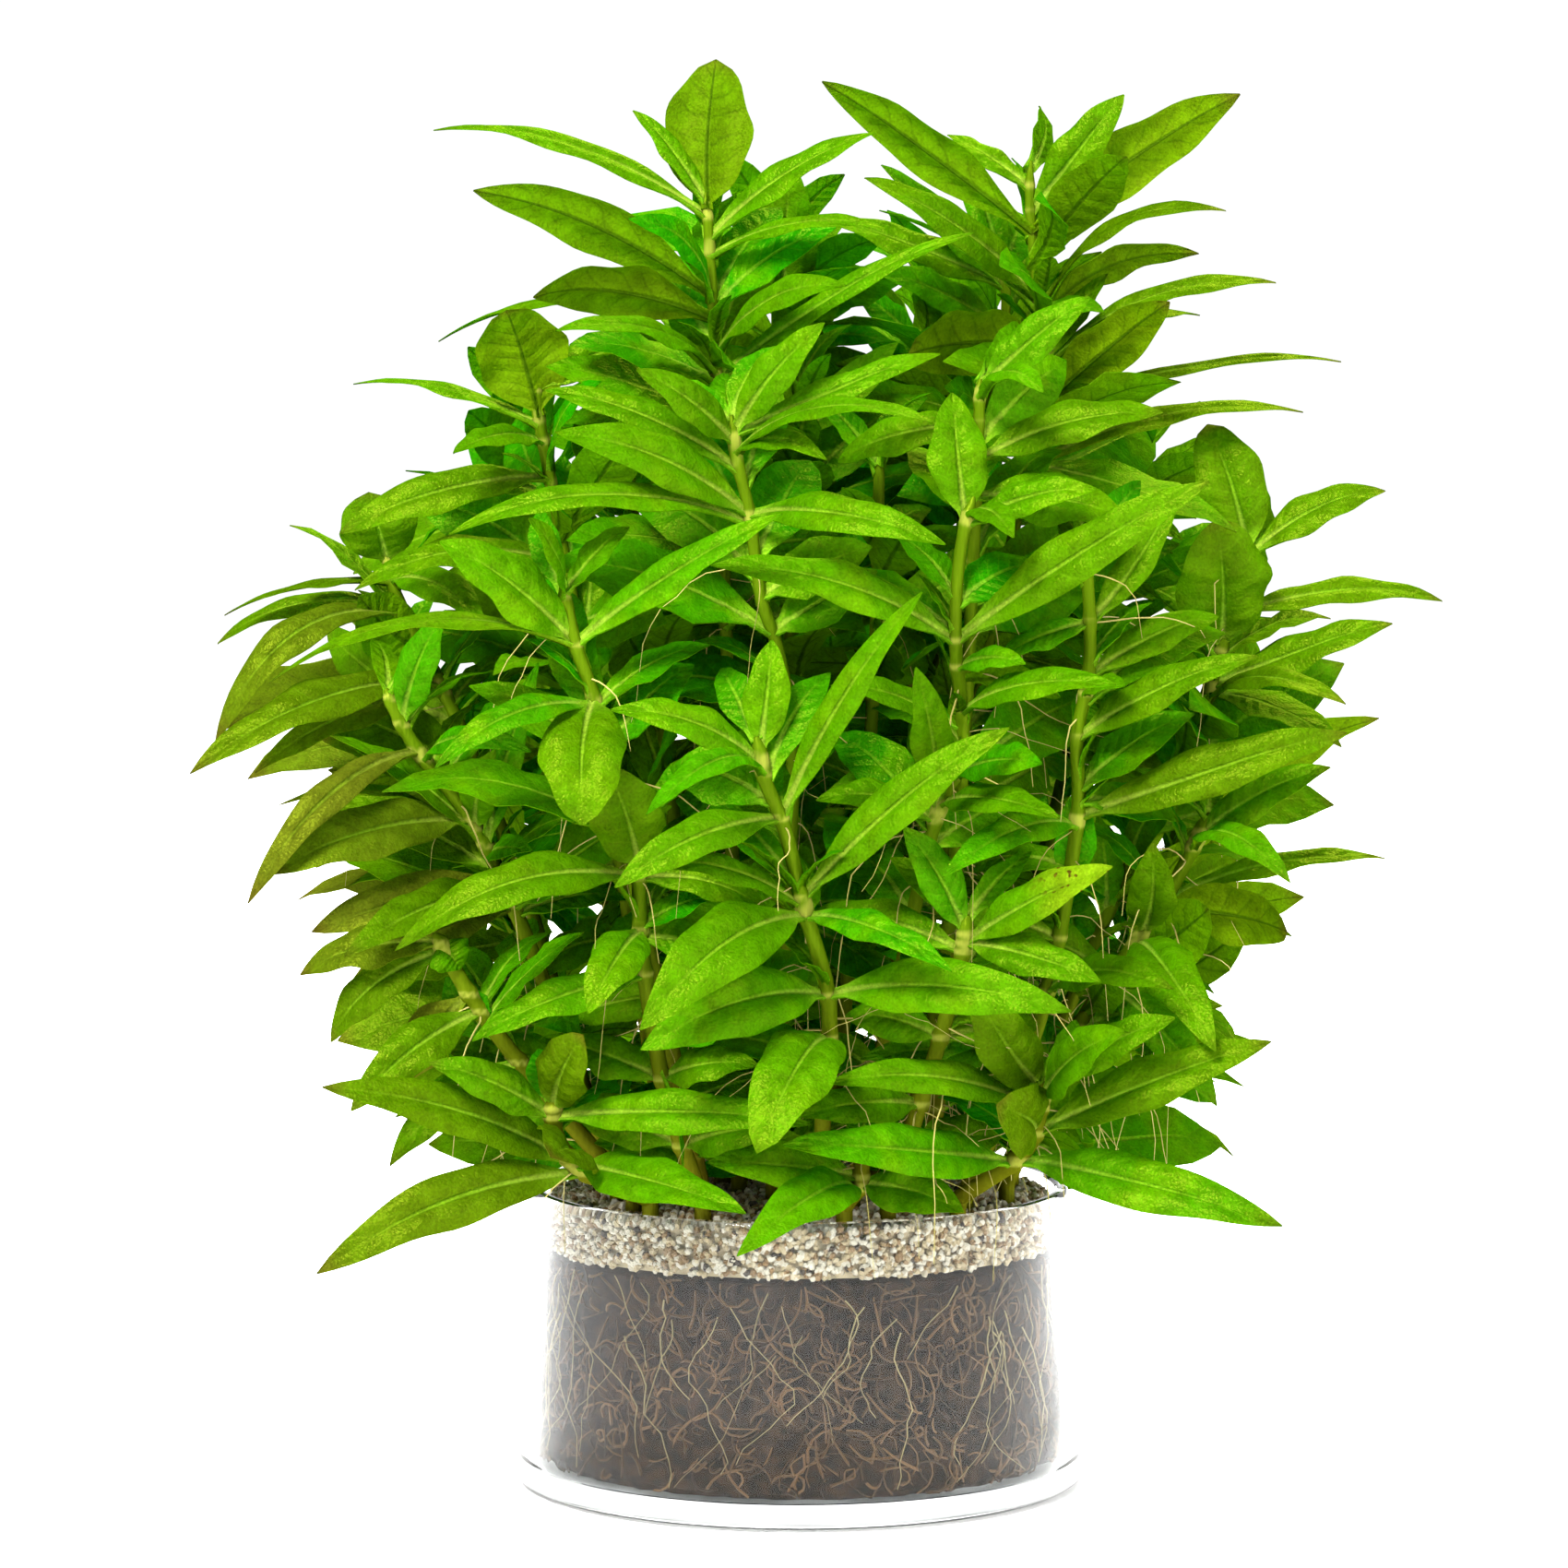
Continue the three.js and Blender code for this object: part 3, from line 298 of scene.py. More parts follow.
    ["core_left", 10, [[-9, -2, 0], [-15, -4, 45], [-20, -6, 84]], []],
    ["back_left", 20, [[-14, 5, 0], [-24, 9, 48], [-33, 13, 90]], []],
    ["back_left_low", 60, [[-22, 8, 0], [-36, 14, 32], [-48, 19, 60]], []],
    ["back_middle", 0, [[-6, 16, 0], [-9, 28, 50], [-11, 36, 96]], []],
    ["back_high", 45, [[0, 8, 0], [-1, 12, 60], [-2, 16, 110]], []],
    ["back_right_high", 15, [[11, 11, 0], [13, 17, 55], [15, 22, 106]], []],
    ["back_right", 80, [[19, 8, 0], [31, 18, 42], [40, 27, 82]], []],
    ["back_right_low", 40, [[14, 20, 0], [25, 37, 30], [33, 48, 58]], []],
    ["back_low", 10, [[3, 24, 0], [4, 39, 28], [4, 50, 62]], []],
    ["back_far_left", 50, [[-13, 21, 0], [-24, 35, 30], [-33, 45, 64]], []],
    ["side_right", 20, [[25, 3, 0], [38, 10, 22], [49, 17, 48]], []],
    ["hem_back", 35, [[-5, 25.5, 0], [-7, 36, 12], [-8, 44, 27]], []],
    ["hem_right", 60, [[21, 15, 0], [33, 24, 10], [42, 30, 24]], []],
    ["hem_left", 0, [[-21, 15, 0], [-34, 22, 10], [-44, 27, 26]], []],
]

# %% [markdown]
# ## From table to leaves
#
# A stem is a smooth curve through its points. A leaf is a base, a direction, a length and
# the way its upper side faces. The helpers below are plain vector sums. The noise is a fixed
# function of two counters, the leaf's own and one for each thing that is drawn for it, so
# the same plant comes out on every run.

# %% Vectors and noise
noise_stretch = (12.9898, 78.233)
noise_height = 43758.5453


def vec(x, y, z):
    return np.array([x, y, z], dtype=float)


def unit(v):
    return v / np.linalg.norm(v)


def noise(i, k):
    value = math.sin(i * noise_stretch[0] + k * noise_stretch[1]) * noise_height
    return value - math.floor(value)


def drawn(span, i, k):
    return span[0] + span[1] * noise(i, k)


def swung(spread, i, k):
    return spread * (noise(i, k) - 0.5)


# %% Curves
def smooth_path(points, steps):
    last = len(points) - 1
    line = []
    for span in range(last):
        a, b, c, d = (vec(*points[min(max(span + k, 0), last)]) for k in (-1, 0, 1, 2))
        for step in range(steps):
            t = step / steps
            line.append(0.5 * (2 * b + (c - a) * t + (2 * a - 5 * b + 4 * c - d) * t * t
                               + (3 * b - a - 3 * c + d) * t * t * t))
    line.append(vec(*points[-1]))
    return line


def stem_at(line, height):
    for low, high in zip(line, line[1:]):
        if height <= high[2]:
            return low + (high - low) * max((height - low[2]) / (high[2] - low[2]), 0)
    return line[-1].copy()


# %% Shape of one blade
def frame_of(leaf):
    n = unit(leaf["facing"] - leaf["direction"] * np.dot(leaf["facing"], leaf["direction"]))
    return n, np.cross(leaf["direction"], n)


def tip_of(leaf):
    return leaf["base"] + leaf["direction"] * leaf["length"]


def half_width(leaf, u):
    peak, fullness = forms[leaf["form"]]
    t = np.maximum(u - petiole_share, 0) / (1 - petiole_share)
    blade = np.maximum(np.sin(np.pi * t ** peak), 0)
    return leaf["width"] / 2 * blade ** fullness + petiole_half_width * (1 - u) ** 3


def blade_points(leaf, u, v):
    n, s = frame_of(leaf)
    half = half_width(leaf, u)
    bow = 4 * leaf["arch"] * leaf["length"] * u * (1 - u)
    return (leaf["base"] + np.outer(leaf["length"] * u, leaf["direction"])
            + np.outer(bow + blade_fold * half * np.abs(v), n) + np.outer(half * v, s))


def blade_grid(along, side, start=0.0):
    u = start + (1 - start) * np.arange(along + 1) / along
    v = 2 * np.arange(side + 1) / side - 1
    return np.repeat(u, side + 1), np.tile(v, along + 1)


# %% Occupied space
across = math.ceil(2 * grid_half / cell)
tall = math.ceil((grid_below + grid_above) / cell)
wide = np.zeros(across * across * tall, dtype=np.int16)
close = np.zeros(across * across * tall, dtype=bool)
neighbours = [(dx * across + dy) * tall + dz
              for dx in (-1, 0, 1) for dy in (-1, 0, 1) for dz in (-1, 0, 1)]


def cells_of(points):
    index = np.floor((points + [grid_half, grid_half, grid_below]) / cell).astype(int)
    return (index[:, 0] * across + index[:, 1]) * tall + index[:, 2]


def occupy(points, mark):
    middle = np.unique(cells_of(points))
    for offset in neighbours:
        near = wide[middle + offset]
        wide[middle + offset] = np.where((near == 0) | (near == mark), mark, shared_cell)


# %% Try a leaf in its place
def leaf_samples(leaf):
    along = math.ceil(leaf["length"] / sample_step)
    side = math.ceil(leaf["width"] / sample_step)
    u, v = blade_grid(along, side, sample_start)
    return u, blade_points(leaf, u, v)


def is_free(u, points, mark, around):
    index = cells_of(points)
    over_pot = np.hypot(points[:, 0], points[:, 1]) < pot_keep_out
    low = over_pot & (points[:, 2] < gravel_keep_out)
    crossed = (u > petiole_end) & close[index]
    taken = (around[index] != 0) & (around[index] != mark)
    return not (low | crossed | taken).any()


# %% Turn, lift, shorten or shift a leaf
def direction_of(azimuth, rise):
    flat = math.cos(rise)
    return vec(math.cos(azimuth) * flat, math.sin(azimuth) * flat, math.sin(rise))


def turned_leaf(leaf, turn, lift, cut):
    d = leaf["direction"]
    azimuth = math.atan2(d[1], d[0]) + math.radians(turn)
    rise = math.asin(d[2]) + math.radians(lift)
    return {**leaf, "direction": direction_of(azimuth, rise), "length": leaf["length"] * cut}


def shifted_leaf(leaf, shift):
    reach = leaf["direction"] * leaf["length"] + vec(0, shift, 0)
    length = float(np.linalg.norm(reach))
    return {**leaf, "direction": reach / length, "length": length}


def settle(wanted, mark, cuts, ways, is_useful=None, around=wide):
    tries = [(shifted_leaf, (shift,)) for shift in depth_shifts] if wanted["placed"] else []
    tries += [(turned_leaf, (*turn, cut)) for cut in cuts for turn in ways]
    for change, values in tries:
        leaf = change(wanted, *values)
        if is_useful and not is_useful(leaf):
            continue
        u, points = leaf_samples(leaf)
        if is_free(u, points, mark, around):
            occupy(points, mark)
            close[cells_of(points[u > petiole_end])] = True
            return leaf
    return None


# %% Leaves placed one by one
def placed_leaf(line, row):
    node, x, y, z, width, tilt, arch, form = row
    base = stem_at(line, node)
    reach = vec(x, y, z) - base
    length = float(np.linalg.norm(reach))
    facing = vec(0, -math.sin(math.radians(tilt)), math.cos(math.radians(tilt)))
    return {"base": base, "length": length, "direction": reach / length, "facing": facing,
            "width": width, "arch": arch, "form": form, "placed": True}


# %% Leaves grown in pairs
leans_inwards = 0.35
leans_forwards = 0.25
bud_gap = 0.4
quarter_turn = 90
azimuth_swing = 30
bud_rise = 48
rise_loss = 17
lowest_rank = 4
rise_swing = 16
length_range = (0.85, 0.3)
width_range = (0.85, 0.45)
arch_range = (0.05, 0.1)
seeds_per_shoot = 40


def grown_leaf(line, height, azimuth, rise, length, width, arch):
    facing = vec(-leans_inwards * math.cos(azimuth),
                 -leans_inwards * math.sin(azimuth) - leans_forwards, 1)
    return {"base": stem_at(line, height), "length": length,
            "direction": direction_of(azimuth, rise), "facing": facing,
            "width": width, "arch": arch, "form": 0, "placed": False}


def grown_pairs(plant, start, twist, seed_shift):
    line, number = plant["line"], plant["number"]
    top = line[-1][2]
    count = math.floor((top - start) / internode) + 1
    leaves = []
    for k in range(count + 1):
        height = min(start + k * internode, top - bud_gap)
        rank = (top - height) / internode
        size = bud_leaf + (long_leaf - bud_leaf) * min(rank / full_rank, 1)
        for side in (0, 1):
            seed = number * seeds_per_shoot + k * 2 + side + seed_shift
            azimuth = math.radians(plant["turn"] + twist + quarter_turn * (k % 2) + 180 * side
                                   + swung(azimuth_swing, seed, 1))
            rise = math.radians(bud_rise - rise_loss * min(rank, lowest_rank)
                                + swung(rise_swing, seed, 2))
            length = size * drawn(length_range, seed, 3)
            width = length * leaf_slimness * drawn(width_range, seed, 4)
            leaves.append(grown_leaf(line, height, azimuth, rise, length, width,
                                     drawn(arch_range, seed, 5)))
    return leaves


# %% Where a leaf may stand on its stem
def outward_run(leaf):
    base, direction = leaf["base"], leaf["direction"]
    return base[0] * direction[0] + base[1] * direction[1], math.hypot(base[0], base[1])


def points_inwards(leaf):
    run, radius = outward_run(leaf)
    return run < -inward_share * radius


def is_outer(leaf):
    run, radius = outward_run(leaf)
    nearest = min(leaf["base"][1], tip_of(leaf)[1])
    return run > outer_share * radius and leaf["base"][2] > outer_low and nearest > outer_front


def is_taken(leaf, others, node_gap, sideways):
    return any(abs(other["base"][2] - leaf["base"][2]) < node_gap
               and np.dot(other["direction"], leaf["direction"]) > sideways
               for other in others)


def has_room(plant, leaf):
    return not is_taken(leaf, plant["leaves"], beside_node, beside_side)


# %% Broad leaves
core_radius = 12
lean_range = (0.5, 1.4)
broad_range = (0.27, 0.15)
broad_seed_step = 31


def broad_leaf(leaf, seed):
    middle = leaf["base"] + leaf["direction"] * leaf["length"] / 2
    outwards = middle * [1, 1, 0] / max(math.hypot(middle[0], middle[1]), core_radius)
    facing = vec(0, 0, 1) + outwards * drawn(lean_range, seed, 21)
    return {**leaf, "form": broad_form, "facing": facing,
            "width": leaf["length"] * drawn(broad_range, seed, 22)}


def broad_pairs(plant, start, twist, seed_shift):
    first_seed = seed_shift + broad_seed_step * plant["number"]
    pairs = grown_pairs(plant, start, twist, seed_shift)
    return [broad_leaf(leaf, first_seed + k) for k, leaf in enumerate(pairs)]


# %% Set out the stems
path_steps = 4
stem_steps = 8
plants = []
for number, (name, turn, path, rows) in enumerate(shoots):
    line = smooth_path(path, path_steps)
    steps = np.linspace(0, 1, stem_steps, endpoint=False)
    for low, high in zip(line, line[1:]):
        occupy(low + np.outer(steps, high - low), number + 1)
    plants.append({"name": name, "turn": turn, "rows": rows, "line": line,
                   "number": number, "top": line[-1][2], "leaves": []})
around_stems = wide.copy()
print("stems", len(plants))

# %% Grow what the solids have
def add_leaf(plant, wanted, cuts=length_cuts, ways=turns):
    leaf = settle(wanted, plant["number"] + 1, cuts, ways)
    if leaf is not None:
        plant["leaves"].append(leaf)


def count_leaves(step):
    print(step, sum(len(plant["leaves"]) for plant in plants))


for plant in plants:
    for row in plant["rows"]:
        add_leaf(plant, placed_leaf(plant["line"], row))
for plant in plants:
    for wanted in grown_pairs(plant, first_node, 0, 0):
        hides_front = bool(plant["rows"]) and wanted["direction"][1] < backward
        taken = is_taken(wanted, plant["leaves"], same_node, same_side)
        if not hides_front and not points_inwards(wanted) and not taken:
            add_leaf(plant, wanted)
for plant in plants:
    for wanted in broad_pairs(plant, outer_start, outer_twist, outer_seeds):
        if is_outer(wanted) and has_room(plant, wanted):
            add_leaf(plant, wanted)
count_leaves("leaves that the solids have")

# %% [markdown]
# A few leaves too small for the solids can be told apart as well: narrow ones that cross
# the gap at the top, small ones at the nodes on the right, and brown ones low on the left.

# %% Small leaves with a place of their own
brown = 0.95
small_rows = [
    ("top_left", (93, 18, -30, 110, 3.2, 50, 0.05, 0), 0),
    ("back_high", (101, -1, 5, 118, 8, 80, 0.05, 0), 0),
    ("top_right_back", (104, 3, -8, 112, 5, 55, 0.06, 0), 0),
    ("top_right_back", (99, 9, -10, 106, 5.5, 60, 0.06, 0), 0),
    ("top_right", (97, 12, -22, 96, 8, -65, 0.06, 1), 0.5),
    ("low_right", (30, 39.4, -30, 41, 5.5, 75, 0.06, 0), 0.4),
    ("centre_right", (61, 24.5, -38, 62, 3.6, 50, 0.08, 0), 0),
    ("right", (58, 35.5, -37, 59.5, 3.6, 55, 0.08, 0), 0),
    ("right", (17, 7.2, -44, 17.6, 4.8, 60, 0.08, 0), 0),
    ("plantlet_right", (13, 34.3, -45, 22.5, 6.5, 60, 0.06, 0), 0),
    ("left", (36, -55, -24, 31, 6, 60, 0.1, 0), brown),
    ("left", (33, -51, -27, 24.5, 5.6, 55, 0.12, 0), brown),
    ("left", (40, -29.8, -27, 60.8, 3.6, 60, 0.04, 0), 0),
    ("low_left", (24, -45, -36, 14, 6, 55, 0.12, 0), brown),
    ("far_right", (47, 31, -2, 51, 7, 70, 0.05, 0), 0),
    ("side_right", (30, 33, 2, 38, 6.5, 75, 0.05, 0), 0),
    ("lower_front_left", (7, -2, -38, 10, 6, 60, 0.1, 0), 0),
    ("lower_front_left", (7, -26, -38, 11, 6, 60, 0.1, 0), 0),
    ("lower_front_left", (15, -27, -42, 19, 5.5, 55, 0.1, 0), 0),
    ("lower_front_left", (15, -5, -42, 17.5, 5.5, 55, 0.1, 0), 0),
    ("front_left", (5, -23, -32, 7, 5.5, 60, 0.1, 0), 0),
    ("front_left", (5, 0, -30, 8, 5.2, 60, 0.1, 0), 0),
    ("plantlet_centre", (6, 23, -36, 7.5, 5.5, 60, 0.1, 0), 0),
    ("plantlet_centre", (12, 2, -41, 14.5, 5.5, 60, 0.1, 0), 0),
    ("plantlet_centre", (20, 5, -44, 22.5, 5.2, 60, 0.1, 0), 0),
    ("plantlet_centre", (20, 27, -44, 21, 5.2, 60, 0.1, 0), 0),
    ("right", (12, 38, -28, 14, 5.5, 60, 0.1, 0), 0.3),
    ("right", (24, 40, -32, 27, 5.2, 60, 0.1, 0), 0.3),
    ("right", (30, 15, -36, 33, 5, 60, 0.1, 0), 0.3),
    ("low_right", (19, 48, -22, 22, 5.5, 60, 0.1, 0), 0.5),
    ("low_right", (25, 22, -26, 31, 5, 60, 0.1, 0), 0.3),
    ("left", (14, -40, -28, 17, 5.5, 60, 0.1, 0), 0.5),
    ("left", (20, -10, -30, 24, 5.5, 60, 0.1, 0), 0),
]
plant_named = {plant["name"]: plant for plant in plants}
for name, row, aged in small_rows:
    plant = plant_named[name]
    add_leaf(plant, {**placed_leaf(plant["line"], row), "aged": aged})
count_leaves("with the small ones")

# %% [markdown]
# The clump is denser than that. Broad shaded leaves fill its inside, in pairs that start at
# other heights and turns than the first ones. They go through the same test of free space,
# and stay behind the leaves that were placed for the front.

# %% Stay behind the front
behind_front = -31.0
behind_low_front = -38.0
low_zone = 24.0
lowest_tip = 1.5
open_top = 10.0
backward_at_top = 0.3
backward_below = 0.15


def stays_behind(plant, leaf):
    base, tip = leaf["base"], tip_of(leaf)
    if tip[2] < lowest_tip:
        return False
    if not plant["rows"]:
        return True
    if base[2] > plant["top"] - open_top and leaf["direction"][1] < backward_at_top:
        return False
    allowed = behind_front if base[2] > low_zone else behind_low_front
    return min(base[1], tip[1]) > allowed or leaf["direction"][1] > backward_below


# %% Fill the inside with broad leaves
fill_cuts = [1, 0.8, 0.6]
fill_turns = [(0, 0), (10, 8), (-10, 8), (10, -8), (-10, -8), (0, 15), (22, 0), (-22, 0)]
height_twist_seeds = [
    (8, 45, 21011), (4, 90, 31013), (0, 20, 0), (12, 70, 47017), (-5, 0, 52009),
    (2, 135, 61001), (10, 110, 67003), (6, 160, 71011), (-3, 60, 79007),
    (14, 25, 83003), (1, 75, 91009),
]
for height, twist, seed_shift in height_twist_seeds:
    for plant in plants:
        for wanted in broad_pairs(plant, first_node + height, twist, seed_shift):
            if stays_behind(plant, wanted) and has_room(plant, wanted):
                add_leaf(plant, wanted, fill_cuts, fill_turns)
count_leaves("with the broad ones")

# %% [markdown]
# The foot of a real clump is its darkest and fullest part, because every stem passes there.
# Short leaves in all directions start low on the stems, more of them at the two sides, and
# none reaches out past the stems by more than a few millimetres.

# %% Fill the foot of the clump
foot_heights = [1.6, 4.0, 6.5, 9.0, 14.0, 19.0, 25.0, 31.0, 38.0, 45.0, 53.0]
foot_lift = 2
foot_rise = (-12, 35)
foot_length = (13, 9)
foot_reach = 7.0
foot_below_top = 3
side_foot = 15.0
side_tries, middle_tries = 8, 5
foot_seeds = 9001
foot_seed_steps = (211, 17)


def reach_out(leaf):
    tip, base = tip_of(leaf), leaf["base"]
    return math.hypot(tip[0], tip[1]) - math.hypot(base[0], base[1])


def foot_leaf(plant, height, seed):
    azimuth = 2 * math.pi * noise(seed, 23)
    leaf = grown_leaf(plant["line"], height, azimuth, math.radians(drawn(foot_rise, seed, 24)),
                      drawn(foot_length, seed, 25), 0, drawn(arch_range, seed, 26))
    return broad_leaf(leaf, seed)


for height in foot_heights:
    for plant in plants:
        tries = side_tries if abs(plant["line"][0][0]) > side_foot else middle_tries
        first_seed = foot_seeds + foot_seed_steps[0] * plant["number"] + int(height)
        for seed in range(first_seed, first_seed + tries * foot_seed_steps[1], foot_seed_steps[1]):
            wanted = foot_leaf(plant, height + foot_lift * noise(seed, 27), seed)
            inside = (wanted["base"][2] < plant["top"] - foot_below_top
                      and reach_out(wanted) < foot_reach)
            if inside and stays_behind(plant, wanted) and has_room(plant, wanted):
                add_leaf(plant, wanted, fill_cuts, fill_turns)
count_leaves("with the foot filled")

# %% [markdown]
# The shoots at the back stand against the light. Broad leaves that lie across the view and
# turn their upper side to the front go wherever there is still room on those stems.

# %% Close the back with leaves that face the light
curtain_heights = [3.0, 8.0, 13.0, 19.0, 25.0, 32.0, 40.0, 49.0, 58.0, 68.0, 79.0]
curtain_lift = 3
curtain_turns = [0.0, 180.0, 25.0, 155.0]
curtain_swing = 30
curtain_rise = 28
curtain_length = (19, 8)
curtain_arch = (0.05, 0.08)
curtain_front = -1.1
curtain_up = (0.7, 0.6)
curtain_width = (0.32, 0.12)
curtain_reach = 9.0
curtain_below_top = 4
curtain_seeds = 15013
curtain_seed_steps = (307, 13)


def curtain_leaf(plant, height, turn, seed):
    azimuth = math.radians(turn + swung(curtain_swing, seed, 28))
    rise = math.radians(curtain_rise * noise(seed, 29))
    length = drawn(curtain_length, seed, 30)
    leaf = grown_leaf(plant["line"], height, azimuth, rise, length, 0,
                      drawn(curtain_arch, seed, 36))
    facing = vec(0, curtain_front, drawn(curtain_up, seed, 37))
    return {**leaf, "form": broad_form, "facing": facing,
            "width": length * drawn(curtain_width, seed, 38)}


for height in curtain_heights:
    for plant in plants:
        if plant["rows"] or height > plant["top"] - curtain_below_top:
            continue
        first_seed = curtain_seeds + curtain_seed_steps[0] * plant["number"] + int(height)
        for k, turn in enumerate(curtain_turns):
            seed = first_seed + curtain_seed_steps[1] * k
            wanted = curtain_leaf(plant, height + curtain_lift * noise(seed, 39), turn, seed)
            if reach_out(wanted) < curtain_reach and stays_behind(plant, wanted):
                add_leaf(plant, wanted, fill_cuts, fill_turns)
count_leaves("with the back closed")

# %% [markdown]
# A dense clump can't be looked through. The leaves are drawn into a coarse picture, once
# from the front, once from the side and once from the back. Every opening that is left in
# it gets a broad leaf from a stem behind it, as long as the front's outline stays what it
# was.

# %% Draw the leaves into a coarse picture
look_cell = 0.6
look_step = 0.5
look_half = 90.0
look_low = 12.0
look_top = 138.0
look_columns = math.ceil(2 * look_half / look_cell)
look_rows = math.ceil((look_low + look_top) / look_cell)
look_stem = 0.4
look_stem_steps = 12
sure_share = 0.85
front_eye = vec(-1.8, -618.0, 90.0)
side_eye = vec(618.0, 0.0, 90.0)
back_eye = vec(1.8, 618.0, 90.0)


def across_of(eye):
    return unit(vec(eye[1], -eye[0], 0))


def toward_of(eye):
    return unit(eye * [1, 1, 0])


def seen_at(eye, points):
    away = -toward_of(eye)
    far = -np.dot(eye, away)
    flat = eye + (points - eye) * (far / ((points - eye) @ away))[:, None]
    return flat @ across_of(eye), flat[:, 2]


# %% Cells that a blade covers
def picture_cells(eye, points):
    aside, height = seen_at(eye, points)
    column = np.floor((aside + look_half) / look_cell).astype(int)
    row = np.floor((height + look_low) / look_cell).astype(int)
    return np.clip(row, 0, look_rows - 1), np.clip(column, 0, look_columns - 1)


def blade_cells(eye, leaf, share=1.0):
    along = math.ceil(leaf["length"] / look_step)
    side = math.ceil(leaf["width"] / look_step)
    u, v = blade_grid(along, side)
    return picture_cells(eye, blade_points(leaf, u, share * v))


# %% The picture and its openings
def picture_from(eye):
    picture = np.zeros((look_rows, look_columns), dtype=bool)
    steps = np.linspace(0, 1, look_stem_steps)
    for plant in plants:
        for low, high in zip(plant["line"], plant["line"][1:]):
            for shift in (-look_stem, look_stem):
                course = low + np.outer(steps, high - low) + shift * across_of(eye)
                picture[picture_cells(eye, course)] = True
        for leaf in plant["leaves"]:
            picture[blade_cells(eye, leaf, sure_share)] = True
    ground = int(look_low / look_cell)
    pot_edge = int(pot_rim_radius / look_cell)
    middle = look_columns // 2
    picture[:ground, middle - pot_edge:middle + pot_edge] = True
    return picture


def openings_in(picture, reach):
    enclosed = ~picture
    for axis, sign in ((0, 1), (0, -1), (1, 1), (1, -1)):
        near = np.zeros_like(picture)
        for k in range(1, reach + 1):
            near |= np.roll(picture, sign * k, axis)
        enclosed &= near
    return enclosed


# %% A leaf that would close an opening
opening_reach = 25
leaf_reach = (4.5, 16.0)
nearest_shoots = 14
free_top = 16.0
least_gain = 5
outline_share = 0.97
covered_part = (0.45, 0.25)
close_length = (12.0, 26.0)
close_arch = (0.04, 0.08)
close_forwards = (0.5, 0.6)
close_upwards = 0.9
close_width = (0.3, 0.12)


def closing_leaf(plant, eye, aim, height, seed):
    base = stem_at(plant["line"], height)
    aside, up = seen_at(eye, base[None])
    aside, up = aim[0] - aside[0], aim[1] - up[0]
    if not leaf_reach[0] < math.hypot(aside, up) < leaf_reach[1]:
        return None
    toward = toward_of(eye)
    depth = swung(1, seed, 81) * math.hypot(aside, up)
    reach = aside * across_of(eye) + vec(0, 0, up) + depth * toward
    size = float(np.linalg.norm(reach))
    length = min(max(size / drawn(covered_part, seed, 82), close_length[0]), close_length[1])
    leaf = grown_leaf(plant["line"], height, 0, 0, length, 0, drawn(close_arch, seed, 83))
    facing = toward * drawn(close_forwards, seed, 84) + vec(0, 0, close_upwards)
    return {**leaf, "form": broad_form, "direction": reach / size, "facing": facing,
            "width": length * drawn(close_width, seed, 85)}


# %% Which shoots are near, and which leaves help
def shoots_near(eye, aim):
    toward = toward_of(eye)
    near = []
    for plant in plants:
        if plant["top"] > aim[1]:
            stem = stem_at(plant["line"], aim[1])
            if abs(seen_at(eye, stem[None])[0][0] - aim[0]) < leaf_reach[1]:
                near.append((abs(float(np.dot(stem, toward))), plant))
    near.sort(key=lambda pair: pair[0])
    return [plant for _, plant in near[:nearest_shoots]]


def test_for(plant, view, row, column):
    def is_useful(leaf):
        cells = blade_cells(view["eye"], leaf)
        hits = ((cells[0] == row) & (cells[1] == column)).any()
        near_top = plant["rows"] and leaf["base"][2] > plant["top"] - free_top
        if not hits or near_top or not stays_behind(plant, leaf):
            return False
        gain = (view["openings"][cells] & ~view["picture"][cells]).sum()
        inside = view["outline"][blade_cells(front_eye, leaf)].mean()
        return gain >= least_gain and inside > outline_share
    return is_useful


# %% Close the openings
node_steps = (-8.0, -4.0, 0.0, 4.0)
lowest_node = 2.0
close_below_top = 4
close_cuts = [1, 0.8]
close_turns = [(0, 0), (0, 12), (0, -12), (14, 0), (-14, 0), (28, 0), (-28, 0)]
close_seed_steps = (7, 101)
tried_reach = 2


def close_one(view, row, column, first_seed):
    aim = ((column + 0.5) * look_cell - look_half, (row + 0.5) * look_cell - look_low)
    for plant in shoots_near(view["eye"], aim):
        is_useful = test_for(plant, view, row, column)
        for k, step in enumerate(node_steps):
            height = aim[1] + step
            if height < lowest_node or height > plant["top"] - close_below_top:
                continue
            seed = first_seed + k + close_seed_steps[1] * plant["number"]
            wanted = closing_leaf(plant, view["eye"], aim, height, seed)
            leaf = wanted and settle(wanted, plant["number"] + 1, close_cuts, close_turns,
                                     is_useful, around_stems)
            if leaf:
                plant["leaves"].append(leaf)
                view["picture"][blade_cells(view["eye"], leaf)] = True
                return True
    return False


def close_openings(eye, first_seed):
    front = picture_from(front_eye)
    picture = picture_from(eye)
    openings = openings_in(picture, opening_reach)
    view = {"eye": eye, "picture": picture, "openings": openings,
            "outline": front | openings_in(front, opening_reach)}
    tried = np.zeros_like(picture)
    before = int(openings.sum())
    for count, (row, column) in enumerate(np.argwhere(openings)):
        if picture[row, column] or tried[row, column]:
            continue
        if not close_one(view, row, column, first_seed + close_seed_steps[0] * count):
            tried[max(row - tried_reach, 0):row + tried_reach + 1,
                  max(column - tried_reach, 0):column + tried_reach + 1] = True
    print("openings", before, "left", int((openings & ~picture).sum()))


close_openings(front_eye, 30011)
close_openings(side_eye, 40009)
close_openings(back_eye, 50021)
count_leaves("with the openings closed")

# %% [markdown]
# Young leaves are the last to grow. A small one sits in the axil of every second leaf, and
# the stems at the back each end in a bud of tiny upright leaves.

